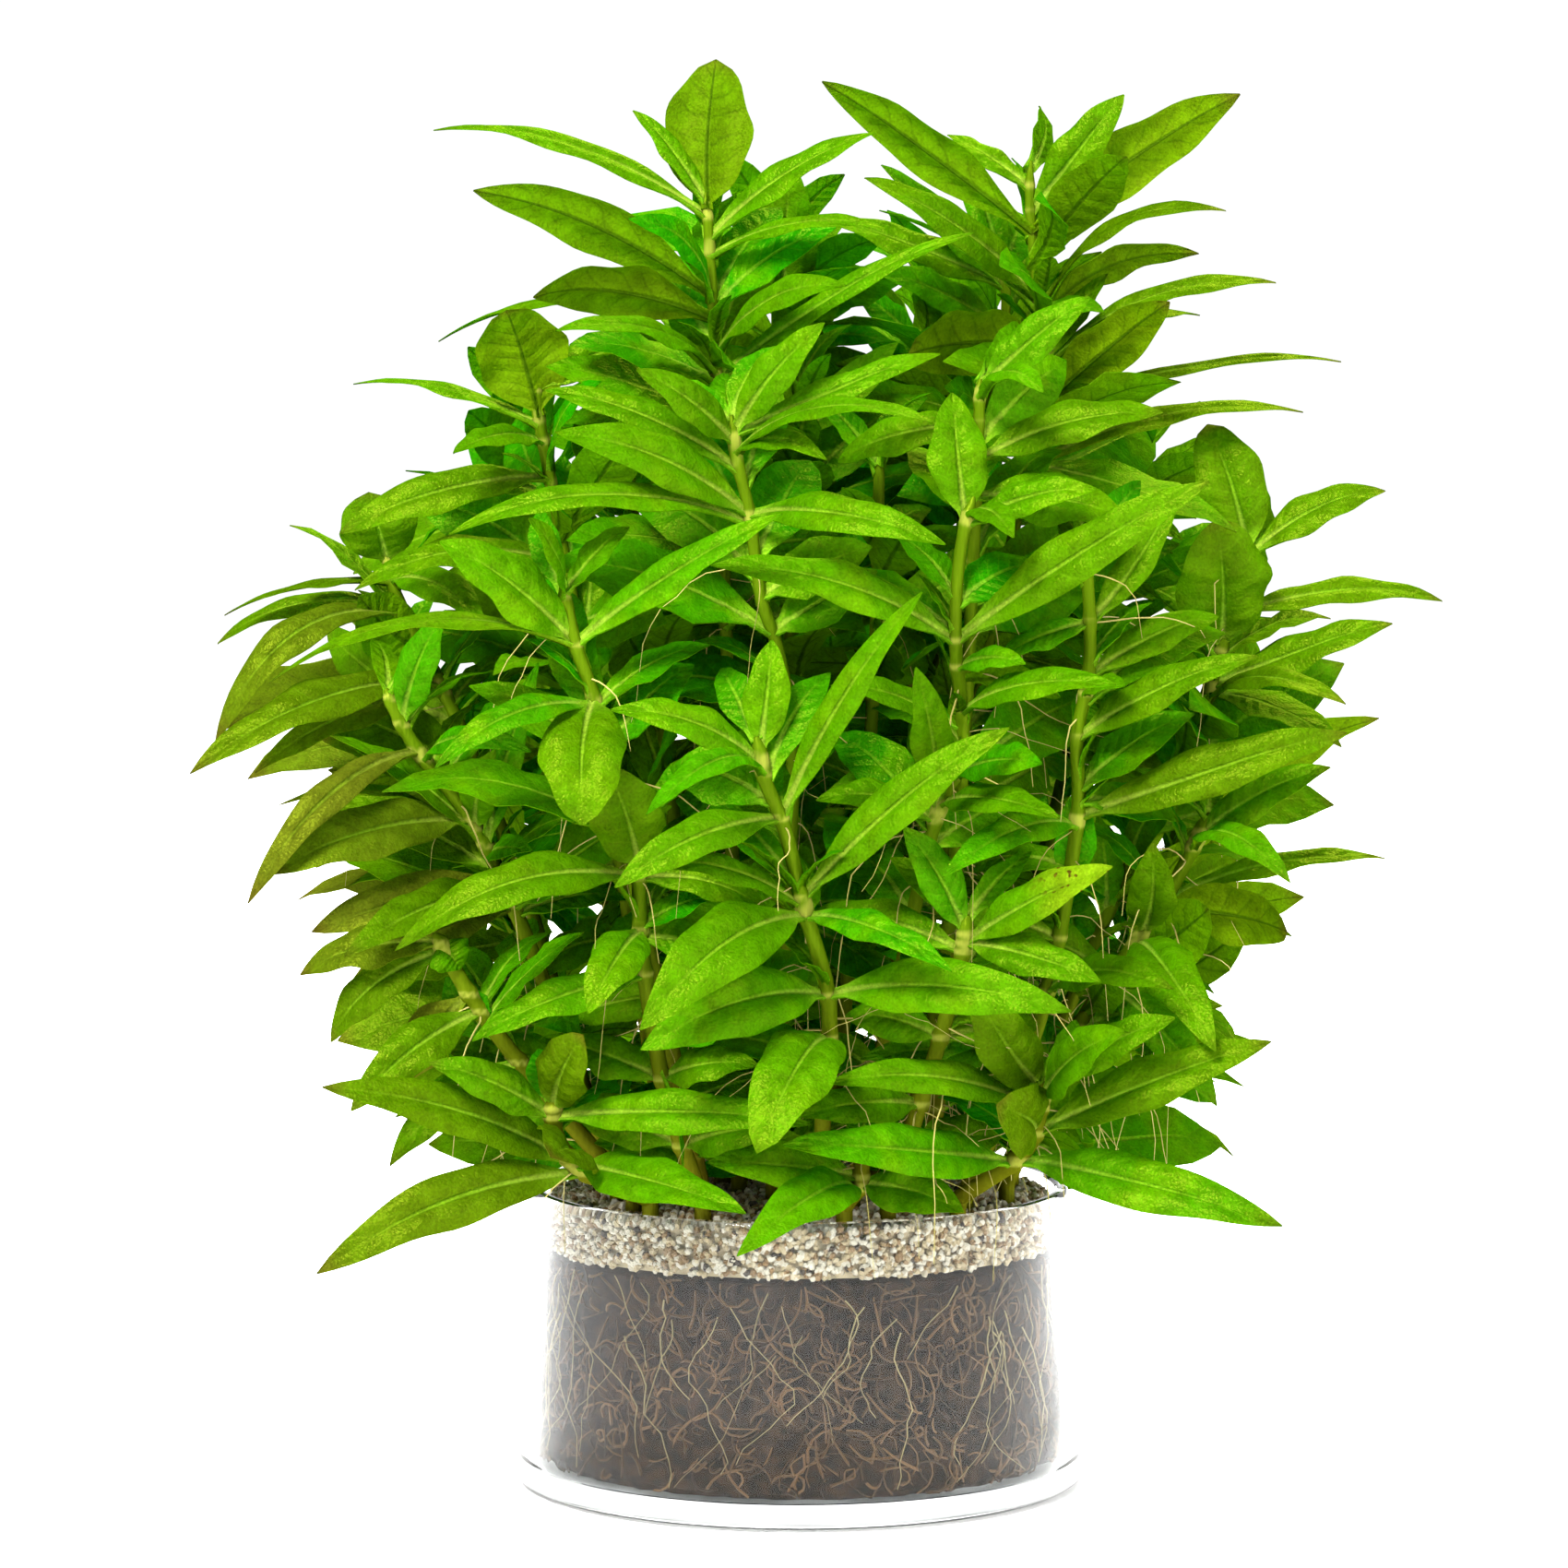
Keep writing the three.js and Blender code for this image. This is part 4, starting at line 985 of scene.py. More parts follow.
# %% Small leaves in the axils and at the tips
small_slimness = 0.34
small_arch = (0.04, 0.08)
axil_rise = 1.4
axil_share = 0.5
axil_parent = 14
axil_below_top = 12
axil_swing = 70
axil_lean = (25, 35)
axil_length = (6.0, 6.0)
axil_seed_step = 97
bud_leaves = 5
bud_turn = 137.5
bud_step = 0.5
bud_lean = (58, -8, 14)
bud_length = (5.0, 1.2)
bud_seeds = (7000, 89)


def add_small_leaf(plant, height, azimuth, rise, length, seed):
    leaf = grown_leaf(plant["line"], height, azimuth, rise, length, length * small_slimness,
                      drawn(small_arch, seed, 9))
    add_leaf(plant, {**leaf, "small": True}, [1], fill_turns)


def grow_in_axil(plant, leaf, seed):
    azimuth = math.atan2(leaf["direction"][1], leaf["direction"][0])
    azimuth += math.radians(swung(axil_swing, seed, 7))
    add_small_leaf(plant, leaf["base"][2] + axil_rise, azimuth,
                   math.radians(drawn(axil_lean, seed, 8)), drawn(axil_length, seed, 10), seed)


def grow_in_bud(plant, k, seed):
    rise = math.radians(bud_lean[0] + bud_lean[1] * k + bud_lean[2] * noise(seed, 13))
    add_small_leaf(plant, plant["top"] - bud_step * k, math.radians(plant["turn"] + bud_turn * k),
                   rise, bud_length[0] + bud_length[1] * k, seed)


# %% Grow the small leaves
for plant in plants:
    highest = plant["top"] - axil_below_top if plant["rows"] else plant["top"]
    for k, leaf in enumerate(list(plant["leaves"])):
        seed = axil_seed_step * plant["number"] + k
        is_parent = leaf["length"] > axil_parent and leaf["base"][2] < highest
        if is_parent and noise(seed, 6) < axil_share:
            grow_in_axil(plant, leaf, seed)
    for k in range(0 if plant["rows"] else bud_leaves):
        grow_in_bud(plant, k, bud_seeds[0] + bud_seeds[1] * plant["number"] + k)
count_leaves("leaves in all")

# %% [markdown]
# ## One leaf, modelled flat
#
# The real blade is a thin closed skin, thicker along its midrib. It is modelled once as a
# grid and given its two sides in edit mode. Its x runs from stalk to tip and its y across.
# Bending a copy into its place is then a sum over its points. Leaves that show in front
# get a finer grid than the many that only fill the inside.

# %% Helpers for operators
def deselect_all():
    if bpy.context.object and bpy.context.object.mode != "OBJECT":
        bpy.ops.object.mode_set(mode="OBJECT")
    bpy.ops.object.select_all(action="DESELECT")


def taken_apart(obj):
    points = np.array([vertex.co for vertex in obj.data.vertices])
    faces = [tuple(polygon.vertices) for polygon in obj.data.polygons]
    bpy.data.objects.remove(obj)
    return points, faces


# %% Flat leaf
def flat_leaf(rows, columns):
    deselect_all()
    bpy.ops.mesh.primitive_grid_add(x_subdivisions=rows, y_subdivisions=columns, size=1)
    bpy.ops.object.mode_set(mode="EDIT")
    bpy.ops.mesh.select_all(action="SELECT")
    bpy.ops.mesh.solidify(thickness=0.1)
    bpy.ops.mesh.normals_make_consistent(inside=False)
    bpy.ops.object.mode_set(mode="OBJECT")
    points, faces = taken_apart(bpy.context.object)
    upper = points[:, 2] > (points[:, 2].min() + points[:, 2].max()) / 2
    print("flat leaf", len(points), "points", len(faces), "faces")
    return {"u": points[:, 0] + 0.5, "v": points[:, 1] * 2, "upper": upper.astype(float),
            "faces": [face[::-1] for face in faces]}


fine_leaf = flat_leaf(20, 6)
plain_leaf = flat_leaf(9, 2)
small_blade = flat_leaf(7, 2)

# %% [markdown]
# ## One stem, modelled straight
#
# A young stem is round and green, with a swollen ring wherever a leaf pair leaves it. The
# straight tube is a circle extruded upwards ring by ring, and every stem is a bent copy.

# %% Straight stem
def straight_tube(rings, sides):
    deselect_all()
    bpy.ops.mesh.primitive_circle_add(vertices=sides, radius=1, fill_type="NGON")
    bpy.ops.object.mode_set(mode="EDIT")
    bpy.ops.mesh.select_all(action="SELECT")
    for _ in range(rings):
        bpy.ops.mesh.extrude_region_move(TRANSFORM_OT_translate={"value": (0, 0, 1 / rings)})
    bpy.ops.mesh.select_all(action="SELECT")
    bpy.ops.mesh.normals_make_consistent(inside=False)
    bpy.ops.object.mode_set(mode="OBJECT")
    points, faces = taken_apart(bpy.context.object)
    print("straight tube", len(points), "points", len(faces), "faces")
    return {"points": points, "faces": faces}


stem_tube = straight_tube(90, 10)
thread_tube = straight_tube(12, 3)

# %% [markdown]
# ## Bend the copies
#
# A bent leaf follows its midrib. On top of that come the things that make it look alive:
# a margin that waves a little, blades that twist, a groove over the midrib with a rib under
# it, and a skin that gets thinner towards its edge.

# %% Proportions of a bent leaf
least_half = 0.09
seen_fold = 0.2
rounder = {oval_form: 0.5}
roundness = 0.75
belly_peak, belly_start, belly_share = 1.1, 0.3, 0.94
edge_start, scallops, scallop_depth, scallop_slant = 0.9, 2.6, 0.05, 0.3
plain_width = 6
ripples, ripple_depth, ripple_slant = 2.9, 0.34, 1.4
droop_start, droop_depth, droop_steepness = 0.62, 0.05, 6
droop_range = (0.2, 1.3)
sway, placed_sway = 0.1, 0.7
twist_swing = math.radians(44)
groove_depth, groove_width = 0.1, 0.22
skin_thickness, midrib_thickness, midrib_width = 0.14, 0.26, 0.28
thins_out = 0.65
stalk_thickness = 0.55
cheek_height, cheek_drop = 0.15, 0.22

# %% Bend a leaf
def seen_half_width(leaf, u, v, seed):
    full = rounder.get(leaf["form"], roundness)
    belly = leaf["width"] / 2 * np.sin(np.pi * np.clip(u, 0, 1) ** belly_peak) ** full
    half = np.maximum(half_width(leaf, u), np.where(u > belly_start, belly_share * belly, 0))
    edge = np.abs(v) > edge_start
    wave = np.sin(2 * np.pi * (scallops * u + noise(seed, 31) + scallop_slant * v))
    return np.maximum(half * (1 + scallop_depth * edge * wave), least_half)


def skin_below(u, v):
    skin = skin_thickness + midrib_thickness * np.exp(-(v / midrib_width) ** 2)
    return skin * (1 - thins_out * u) + stalk_thickness * (1 - u) ** 7


def bend_leaf(leaf, shape, seed):
    u, v, upper = shape["u"], shape["v"], shape["upper"]
    n, s = frame_of(leaf)
    length = leaf["length"]
    half = seen_half_width(leaf, u, v, seed)
    bow = 4 * leaf["arch"] * length * u * (1 - u)
    size = leaf["width"] / plain_width
    inside = np.sin(np.pi * np.clip(u, 0, 1))
    wave = np.sin(2 * np.pi * (ripples * u + noise(seed, 32)) + ripple_slant * v)
    ripple = ripple_depth * size * wave * v * v
    droop = (-droop_depth * length * drawn(droop_range, seed, 33)
             * np.clip(u - droop_start, 0, 1) ** 2 * droop_steepness)
    aside = swung(sway * length, seed, 34) * inside * (placed_sway if leaf["placed"] else 1)
    twist = swung(twist_swing, seed, 35) * u
    groove = -groove_depth * size * np.exp(-(v / groove_width) ** 2) * (1 - u)
    cheeks = cheek_height * np.sin(np.pi * np.abs(v)) - cheek_drop * np.abs(v) ** 3
    lift = (seen_fold * half * np.abs(v) + half * cheeks * inside + ripple * inside + groove
            - skin_below(u, v) * (1 - upper))
    side = half * v
    out = bow + droop + np.cos(twist) * lift + np.sin(twist) * side
    beside = aside + np.cos(twist) * side - np.sin(twist) * lift
    points = (leaf["base"] + np.outer(length * u, leaf["direction"])
              + np.outer(out, n) + np.outer(beside, s))
    return points, half


# %% Bend a tube
tangent_reach = 0.012
odd_axis = [0.11, 1.0, 0.07]


def along_course(course, share):
    course = np.array(course)
    steps = np.linalg.norm(np.diff(course, axis=0), axis=1)
    length = np.concatenate([[0], np.cumsum(steps)])
    wanted = np.clip(share, 0, 1) * length[-1]
    return np.stack([np.interp(wanted, length, course[:, k]) for k in range(3)], axis=1)


def bend_tube(course, tube, radius_of):
    share = tube["points"][:, 2]
    centre = along_course(course, share)
    tangent = (along_course(course, share + tangent_reach)
               - along_course(course, share - tangent_reach))
    tangent /= np.linalg.norm(tangent, axis=1)[:, None]
    first = np.cross(tangent, odd_axis)
    first /= np.linalg.norm(first, axis=1)[:, None]
    second = np.cross(tangent, first)
    radius = radius_of(centre, share)
    return centre + (first * (tube["points"][:, 0] * radius)[:, None]
                     + second * (tube["points"][:, 1] * radius)[:, None])


# %% Radius of a stem
node_swelling = 0.28
node_reach = 0.6
rounded_end = 0.02
blunt_end = 0.1


def swelling_at(heights, nodes):
    swell = np.zeros(len(heights))
    for node in nodes:
        swell = np.maximum(swell, np.exp(-((heights - node) / node_reach) ** 2))
    return swell


def stem_radius(nodes):
    def radius_of(centre, share):
        taper = np.clip(centre[:, 2] / stem_full_height, 0, 1)
        radius = stem_foot_radius + (stem_tip_radius - stem_foot_radius) * taper
        rounded = np.sqrt(np.clip((1 - share) / rounded_end, blunt_end, 1))
        return radius * (1 + node_swelling * swelling_at(centre[:, 2], nodes)) * rounded
    return radius_of


# %% [markdown]
# ## From arrays to a piece
#
# One shoot is one piece: its stem and all its leaves in one mesh with two finishes. Points
# also carry what the finishes need: where on the blade they are, how fresh or old the leaf
# is, and which side is looked at.

# %% Put a piece together
def new_batch():
    return {"points": [], "faces": [], "place": [], "traits": [], "finish": [], "count": 0}


def add_copy(batch, points, faces, place, traits, finish=0):
    batch["points"].append(points)
    batch["place"].append(place)
    batch["traits"].append(traits)
    batch["faces"].extend(tuple(i + batch["count"] for i in face) for face in faces)
    batch["finish"].extend([finish] * len(faces))
    batch["count"] += len(points)


def same_traits(points, *values):
    return np.tile(np.array(values, dtype=float), (len(points), 1))


def add_plain_copy(batch, points, faces, *traits):
    add_copy(batch, points, faces, points * 0, same_traits(points, *traits, 0, 0))


def add_thread(batch, course, thickness, taper, *traits):
    points = bend_tube(course, thread_tube,
                       lambda centre, share: thickness * (taper[0] - taper[1] * share))
    add_plain_copy(batch, points, thread_tube["faces"], *traits)


# %% Make one mesh of a batch
def finished_piece(batch, name, materials, sharp_angle=50.0):
    mesh = bpy.data.meshes.new(name)
    points = (np.concatenate(batch["points"]) + [0, 0, gravel_crown]) * mm
    mesh.from_pydata(points.tolist(), [], batch["faces"])
    place = mesh.attributes.new("place", "FLOAT_VECTOR", "POINT")
    place.data.foreach_set("vector", np.concatenate(batch["place"]).ravel())
    traits = mesh.attributes.new("traits", "FLOAT_COLOR", "POINT")
    traits.data.foreach_set("color", np.concatenate(batch["traits"]).ravel())
    for material in materials:
        mesh.materials.append(material)
    mesh.polygons.foreach_set("material_index", batch["finish"])
    piece = bpy.data.objects.new(name, mesh)
    bpy.context.scene.collection.objects.link(piece)
    deselect_all()
    piece.select_set(True)
    bpy.context.view_layer.objects.active = piece
    bpy.ops.object.shade_smooth_by_angle(angle=math.radians(sharp_angle))
    print(name, len(mesh.polygons), "faces")
    return piece


# %% [markdown]
# ## Leaf and stem finishes
#
# A leaf is bright and a little glossy above, duller below, with a pale midrib above and a
# dark one below, and side veins that curve towards the tip. Old leaves turn olive. Light
# passes through the skin, so part of the shader is translucent. Pairs of numbers below are
# where a fade begins and ends, or the slope and start of a straight line.

# %% Node helpers
def new_material(name):
    material = bpy.data.materials.new(name)
    material.use_nodes = True
    tree = material.node_tree
    return material, tree, tree.nodes["Principled BSDF"]


def plug_in(tree, socket, value):
    if isinstance(value, tuple):
        socket.default_value = (*value, 1) if len(socket.default_value) == 4 else value
    elif isinstance(value, (int, float)):
        socket.default_value = value
    else:
        tree.links.new(value, socket)


def sum_of(tree, operation, *values):
    node = tree.nodes.new("ShaderNodeMath")
    node.operation = operation
    for socket, value in zip(node.inputs, values):
        plug_in(tree, socket, value)
    return node.outputs[0]


def times(tree, a, b):
    return sum_of(tree, "MULTIPLY", a, b)


def rest_of(tree, value):
    return sum_of(tree, "SUBTRACT", 1.0, value)


def line_of(tree, value, slope_start):
    return sum_of(tree, "MULTIPLY_ADD", value, *slope_start)


def fade(tree, value, low_high):
    node = tree.nodes.new("ShaderNodeMapRange")
    node.interpolation_type = "SMOOTHSTEP"
    plug_in(tree, node.inputs["Value"], value)
    plug_in(tree, node.inputs["From Min"], low_high[0])
    plug_in(tree, node.inputs["From Max"], low_high[1])
    return node.outputs[0]


# %% Colour helpers
def blended(tree, factor, a, b):
    node = tree.nodes.new("ShaderNodeMix")
    node.data_type = "RGBA"
    for socket, value in zip((node.inputs[0], node.inputs[6], node.inputs[7]), (factor, a, b)):
        plug_in(tree, socket, value)
    return node.outputs[2]


def brightened(tree, colour, factor):
    node = tree.nodes.new("ShaderNodeVectorMath")
    node.operation = "SCALE"
    plug_in(tree, node.inputs[0], colour)
    plug_in(tree, node.inputs["Scale"], factor)
    return node.outputs[0]


def parts_of(tree, name):
    node = tree.nodes.new("ShaderNodeAttribute")
    node.attribute_name = name
    split = tree.nodes.new("ShaderNodeSeparateXYZ")
    tree.links.new(node.outputs["Vector"], split.inputs[0])
    return [*split.outputs, node.outputs["Alpha"]]


# %% Pattern and relief helpers
def grain(tree, scale, detail=3.0, stretch=None):
    node = tree.nodes.new("ShaderNodeTexNoise")
    node.inputs["Scale"].default_value = scale
    node.inputs["Detail"].default_value = detail
    place = tree.nodes.new("ShaderNodeTexCoord").outputs["Object"]
    if stretch:
        mapping = tree.nodes.new("ShaderNodeMapping")
        mapping.inputs["Scale"].default_value = stretch
        tree.links.new(place, mapping.inputs["Vector"])
        place = mapping.outputs[0]
    tree.links.new(place, node.inputs["Vector"])
    return node.outputs["Fac"]


def bumped(tree, skin, height, depth, strength=1.0):
    node = tree.nodes.new("ShaderNodeBump")
    node.inputs["Distance"].default_value = depth
    node.inputs["Strength"].default_value = strength
    tree.links.new(height, node.inputs["Height"])
    tree.links.new(node.outputs[0], skin.inputs["Normal"])
    return node.outputs[0]


# %% Helpers for light through and on a leaf
def laid_over(tree, under, over, share):
    mixed = tree.nodes.new("ShaderNodeMixShader")
    mixed.inputs[0].default_value = share
    tree.links.new(under.outputs[0], mixed.inputs[1])
    tree.links.new(over.outputs[0], mixed.inputs[2])
    tree.links.new(mixed.outputs[0], tree.nodes["Material Output"].inputs["Surface"])
    return mixed


def let_light_through(tree, skin, colour, share, normal):
    through = tree.nodes.new("ShaderNodeBsdfTranslucent")
    tree.links.new(colour, through.inputs["Color"])
    tree.links.new(normal, through.inputs["Normal"])
    return laid_over(tree, skin, through, share)


def add_gloss(tree, under, roughness, share, normal):
    shine = tree.nodes.new("ShaderNodeBsdfAnisotropic")
    shine.inputs["Color"].default_value = (*gloss_tint, 1)
    plug_in(tree, shine.inputs["Roughness"], roughness)
    tree.links.new(normal, shine.inputs["Normal"])
    laid_over(tree, under, shine, share)


# %% Leaf colours
fresh_above = (0.046, 0.155, 0.0002)
# painted shade: the darker, less yellow green that the inner leaves take for the shade inside the
# clump
painted_shade_green = (0.008, 0.135, 0.0001)
old_above = (0.048, 0.084, 0.0004)
fresh_below = (0.056, 0.15, 0.0003)
old_below = (0.078, 0.13, 0.0006)
withered = (0.085, 0.08, 0.006)
rib_above = (0.2, 0.36, 0.012)
rib_below = (0.012, 0.04, 0.0005)
tip_brown = (0.07, 0.04, 0.005)
spot_brown = (0.05, 0.03, 0.002)
yellowing = (0.13, 0.2, 0.003)
rib_cream = (0.3, 0.38, 0.04)
# painted sheen: the pale yellow-green of the highlight patches on the upper side
painted_sheen_colour = (0.09, 0.2, 0.0005)
lit_tint = (1.5, 2.3, 0.3)
gloss_tint = (0.8, 1.0, 0.05)

# %% Where on the leaf
rib_half_width = (-0.42, 0.56)
rib_edge = (0.25, 1.0)
rib_end = (0.45, 0.95)
rib_by_tone = (-0.45, 0.72)
pale_stretch = (0.08, 0.5)

leaf_skin, tree, skin = new_material("leaf_skin")
u, v, half, _ = parts_of(tree, "place")
tone, age, upper, spotted = parts_of(tree, "traits")
offside = sum_of(tree, "ABSOLUTE", v)
from_rib = sum_of(tree, "DIVIDE", times(tree, offside, half), line_of(tree, u, rib_half_width))
keel = rest_of(tree, fade(tree, from_rib, rib_edge))
rib = times(tree, keel, rest_of(tree, fade(tree, u, rib_end)))
rib_strength = line_of(tree, tone, rib_by_tone)
near_stalk = rest_of(tree, fade(tree, u, pale_stretch))

# %% Side veins
mottling_grain = 520.0
vein_lean = 0.13
vein_pairs = (3.0, 6.5)
vein_wander, wander_grain = 0.9, 260.0
vein_edge = (0.38, 0.5)
vein_margin = (0.55, 1.0)
vein_start = (0.06, 0.2)

mottling = grain(tree, mottling_grain)
lean = times(tree, offside, vein_lean)
climb = times(tree, sum_of(tree, "SUBTRACT", u, lean), line_of(tree, tone, vein_pairs))
climb = sum_of(tree, "ADD", climb, times(tree, grain(tree, wander_grain, 1.0), vein_wander))
between_veins = sum_of(tree, "PINGPONG", climb, 0.5)
in_blade = rest_of(tree, fade(tree, offside, vein_margin))
veins = times(tree, fade(tree, between_veins, vein_edge), in_blade)
veins = times(tree, veins, fade(tree, u, vein_start))

# %% Colour of the upper and the lower side
painted_shade_tones = (0.35, 1.0)
painted_sheen_grain, painted_sheen_edge, painted_sheen_share = 170.0, (0.48, 0.68), 0.4
veins_above, veins_below, lines_below = 0.07, 0.5, 0.75
stalk_end, stalk_share = (0.05, 0.22), 0.55

# Painted shade: leaves of a deep tone, mostly the inner ones, blend towards the shaded green.
above = blended(tree, fade(tree, tone, painted_shade_tones), fresh_above, painted_shade_green)
# Painted sheen: a noise lays brighter, yellower patches over the upper side in place of highlights on
# the glossy blade.
painted_sheen = fade(tree, grain(tree, painted_sheen_grain, 2.0), painted_sheen_edge)
above = blended(tree, times(tree, painted_sheen, painted_sheen_share), above, painted_sheen_colour)
above = blended(tree, age, above, old_above)
above = blended(tree, times(tree, veins, veins_above), above, rib_above)
stalk = times(tree, rest_of(tree, fade(tree, u, stalk_end)), stalk_share)
above = blended(tree, stalk, above, rib_above)
rib_colour = blended(tree, near_stalk, rib_above, rib_cream)
above = blended(tree, times(tree, rib, rib_strength), above, rib_colour)
below = blended(tree, age, fresh_below, old_below)
dark_lines = sum_of(tree, "MAXIMUM", times(tree, veins, veins_below), keel)
below = blended(tree, times(tree, dark_lines, lines_below), below, rib_below)
colour = blended(tree, upper, below, above)

# %% Age, spots and shade
withering = (0.8, 1.1)
tip_start, tip_share = (0.88, 1.0), 0.7
yellow_start, yellow_share = (0.45, 0.75), 0.8
spot_grain, spot_edge = 900.0, (0.6, 0.66)
speckle_grain = 3200.0
mottling_shade, speckle_shade, tone_shade = (0.9, 0.1), 0.9, (0.3, 0.88)

colour = blended(tree, fade(tree, age, withering), colour, withered)
old_tip = times(tree, fade(tree, u, tip_start), times(tree, age, tip_share))
colour = blended(tree, old_tip, colour, tip_brown)
yellow = times(tree, spotted, fade(tree, u, yellow_start))
colour = blended(tree, times(tree, yellow, yellow_share), colour, yellowing)
spot = times(tree, fade(tree, grain(tree, spot_grain, 1.0), spot_edge), yellow)
colour = blended(tree, spot, colour, spot_brown)
speckle = grain(tree, speckle_grain, 1.0)
shade = line_of(tree, speckle, (speckle_shade, line_of(tree, mottling, mottling_shade)))
shade = times(tree, shade, line_of(tree, tone, tone_shade))
colour = brightened(tree, colour, shade)
tree.links.new(colour, skin.inputs["Base Color"])

# %% Gloss, relief and light through the leaf
leaf_roughness, duller_below = (0.3, 0.2), 0.2
quilt_relief, speckle_relief, mottling_relief, rib_relief = -1.1, 0.6, 0.9, 0.8
leaf_relief_depth = 0.0002
leaf_lit_share = 0.45
leaf_gloss = 0.011

skin.inputs["Specular IOR Level"].default_value = 0.0
dull = sum_of(tree, "ADD", line_of(tree, mottling, leaf_roughness),
              times(tree, rest_of(tree, upper), duller_below))
quilt = times(tree, times(tree, between_veins, quilt_relief), in_blade)
relief = line_of(tree, speckle, (speckle_relief, quilt))
relief = sum_of(tree, "SUBTRACT", relief, times(tree, mottling, mottling_relief))
relief = sum_of(tree, "SUBTRACT", relief, times(tree, rib, rib_relief))
leaf_normal = bumped(tree, skin, relief, leaf_relief_depth)
lit_colour = tree.nodes.new("ShaderNodeVectorMath")
lit_colour.operation = "MULTIPLY"
tree.links.new(colour, lit_colour.inputs[0])
lit_colour.inputs[1].default_value = lit_tint
lit_leaf = let_light_through(tree, skin, lit_colour.outputs[0], leaf_lit_share, leaf_normal)
add_gloss(tree, lit_leaf, dull, leaf_gloss, leaf_normal)
print("leaf finish", len(tree.nodes), "nodes")

# %% Stem finish
young_stem = (0.05, 0.1, 0.001)
old_stem = (0.08, 0.065, 0.0025)
node_pale = (0.22, 0.24, 0.03)
streak_stretch = (2600.0, 2600.0, 260.0)
streak_shade = (0.5, 0.72)
collar_edge, collar_share = (0.45, 1.0), 0.8
streak_depth, streak_strength = 0.00012, 0.8
stem_lit_share = 0.18
stem_roughness = 0.36
stem_gloss = 0.015

stem_skin, tree, skin = new_material("stem_skin")
tone, age, swell, _ = parts_of(tree, "traits")
streak = grain(tree, 1.0, 2.0, streak_stretch)
stem_colour = blended(tree, age, young_stem, old_stem)
collar = times(tree, fade(tree, swell, collar_edge), collar_share)
stem_colour = blended(tree, collar, stem_colour, node_pale)
stem_colour = brightened(tree, stem_colour, line_of(tree, streak, streak_shade))
tree.links.new(stem_colour, skin.inputs["Base Color"])
skin.inputs["Specular IOR Level"].default_value = 0.0
stem_normal = bumped(tree, skin, streak, streak_depth, streak_strength)
lit_stem = let_light_through(tree, skin, stem_colour, stem_lit_share, stem_normal)
add_gloss(tree, lit_stem, stem_roughness, stem_gloss, stem_normal)
print("stem finish", len(tree.nodes), "nodes")

# %% [markdown]
# ## Dress the shoots
#
# Each shoot is assembled from a bent stem and its bent leaves and takes the place of its
# faceted stand-in. Leaves at the two sides and the round ones are older, and so more olive.

# %% How old a leaf is
side_starts, side_ends = 34.0, 64.0
low_starts, low_ends = 70, 50
low_left, low_right = 1.3, 0.5
right_starts, right_ends = 20, 50
high_starts, high_ends = 80, 110
beside_ages, low_ages, high_ages, chance_ages, youth = 0.5, 0.55, 0.5, 0.3, -0.12
low_oval, middle_oval = 30.0, 15.0
low_oval_ages, oval_ages = 0.7, 0.3
turned_away, turned_ages, turned_limit = 0.5, 0.3, 0.8


def share_between(value, low, high):
    return min(max((value - low) / (high - low), 0), 1)


def leaf_age(leaf, seed):
    x, _, z = tip_of(leaf)
    beside = share_between(abs(x), side_starts, side_ends)
    low_side = beside * share_between(low_starts - z, 0, low_ends)
    low_side *= low_left if x < 0 else low_right
    high_right = share_between(x, right_starts, right_ends) * share_between(z, high_starts, high_ends)
    age = (beside_ages * beside + low_ages * low_side + high_ages * high_right
           + chance_ages * noise(seed, 41) + youth)
    if leaf["form"] == oval_form:
        age += low_oval_ages if z < low_oval and abs(x) > middle_oval else oval_ages
    if leaf["placed"] and leaf["facing"][1] > turned_away:
        age = min(age + turned_ages, turned_limit)
    return share_between(max(age, leaf.get("aged", age)), 0, 1)


# %% Stem of a shoot
spotted_leaf = ("plantlet_centre", 3)
aged_below, aged_over = 34, 40
stem_age_swing = 0.3
stem_finish, leaf_finish = 0, 1


def add_stem(batch, plant):
    foot = plant["line"][0] * [1, 1, 0] + vec(0, 0, plug_top + 2 * fit_gap - gravel_crown)
    nodes = sorted({round(float(leaf["base"][2]), 1) for leaf in plant["leaves"]
                    if "small" not in leaf and leaf["form"] != broad_form})
    points = bend_tube([foot] + plant["line"], stem_tube, stem_radius(nodes))
    height = points[:, 2]
    turn = np.arctan2(stem_tube["points"][:, 1], stem_tube["points"][:, 0])
    tone = noise(plant["number"], 51)
    aged = np.clip((aged_below - height) / aged_over + stem_age_swing * (tone - 0.5), 0, 1)
    place = np.stack([height, turn, np.ones(len(points))], axis=1)
    traits = np.stack([np.full(len(points), tone), aged, swelling_at(height, nodes),
                       np.zeros(len(points))], axis=1)
    add_copy(batch, points, stem_tube["faces"], place, traits, stem_finish)


# %% Dress every shoot
# Front leaves draw mostly fresh tones and inner leaves deep ones, so the inner leaves carry the
# painted shade.
front_tone, inner_tone = (0.05, 0.7), (0.45, 0.55)
front_tone_bias = 1.5
leaf_seed_step = 61


def leaf_tone(leaf, seed):
    if leaf["placed"]:
        return front_tone[0] + front_tone[1] * noise(seed, 42) ** front_tone_bias
    return drawn(inner_tone, seed, 42)


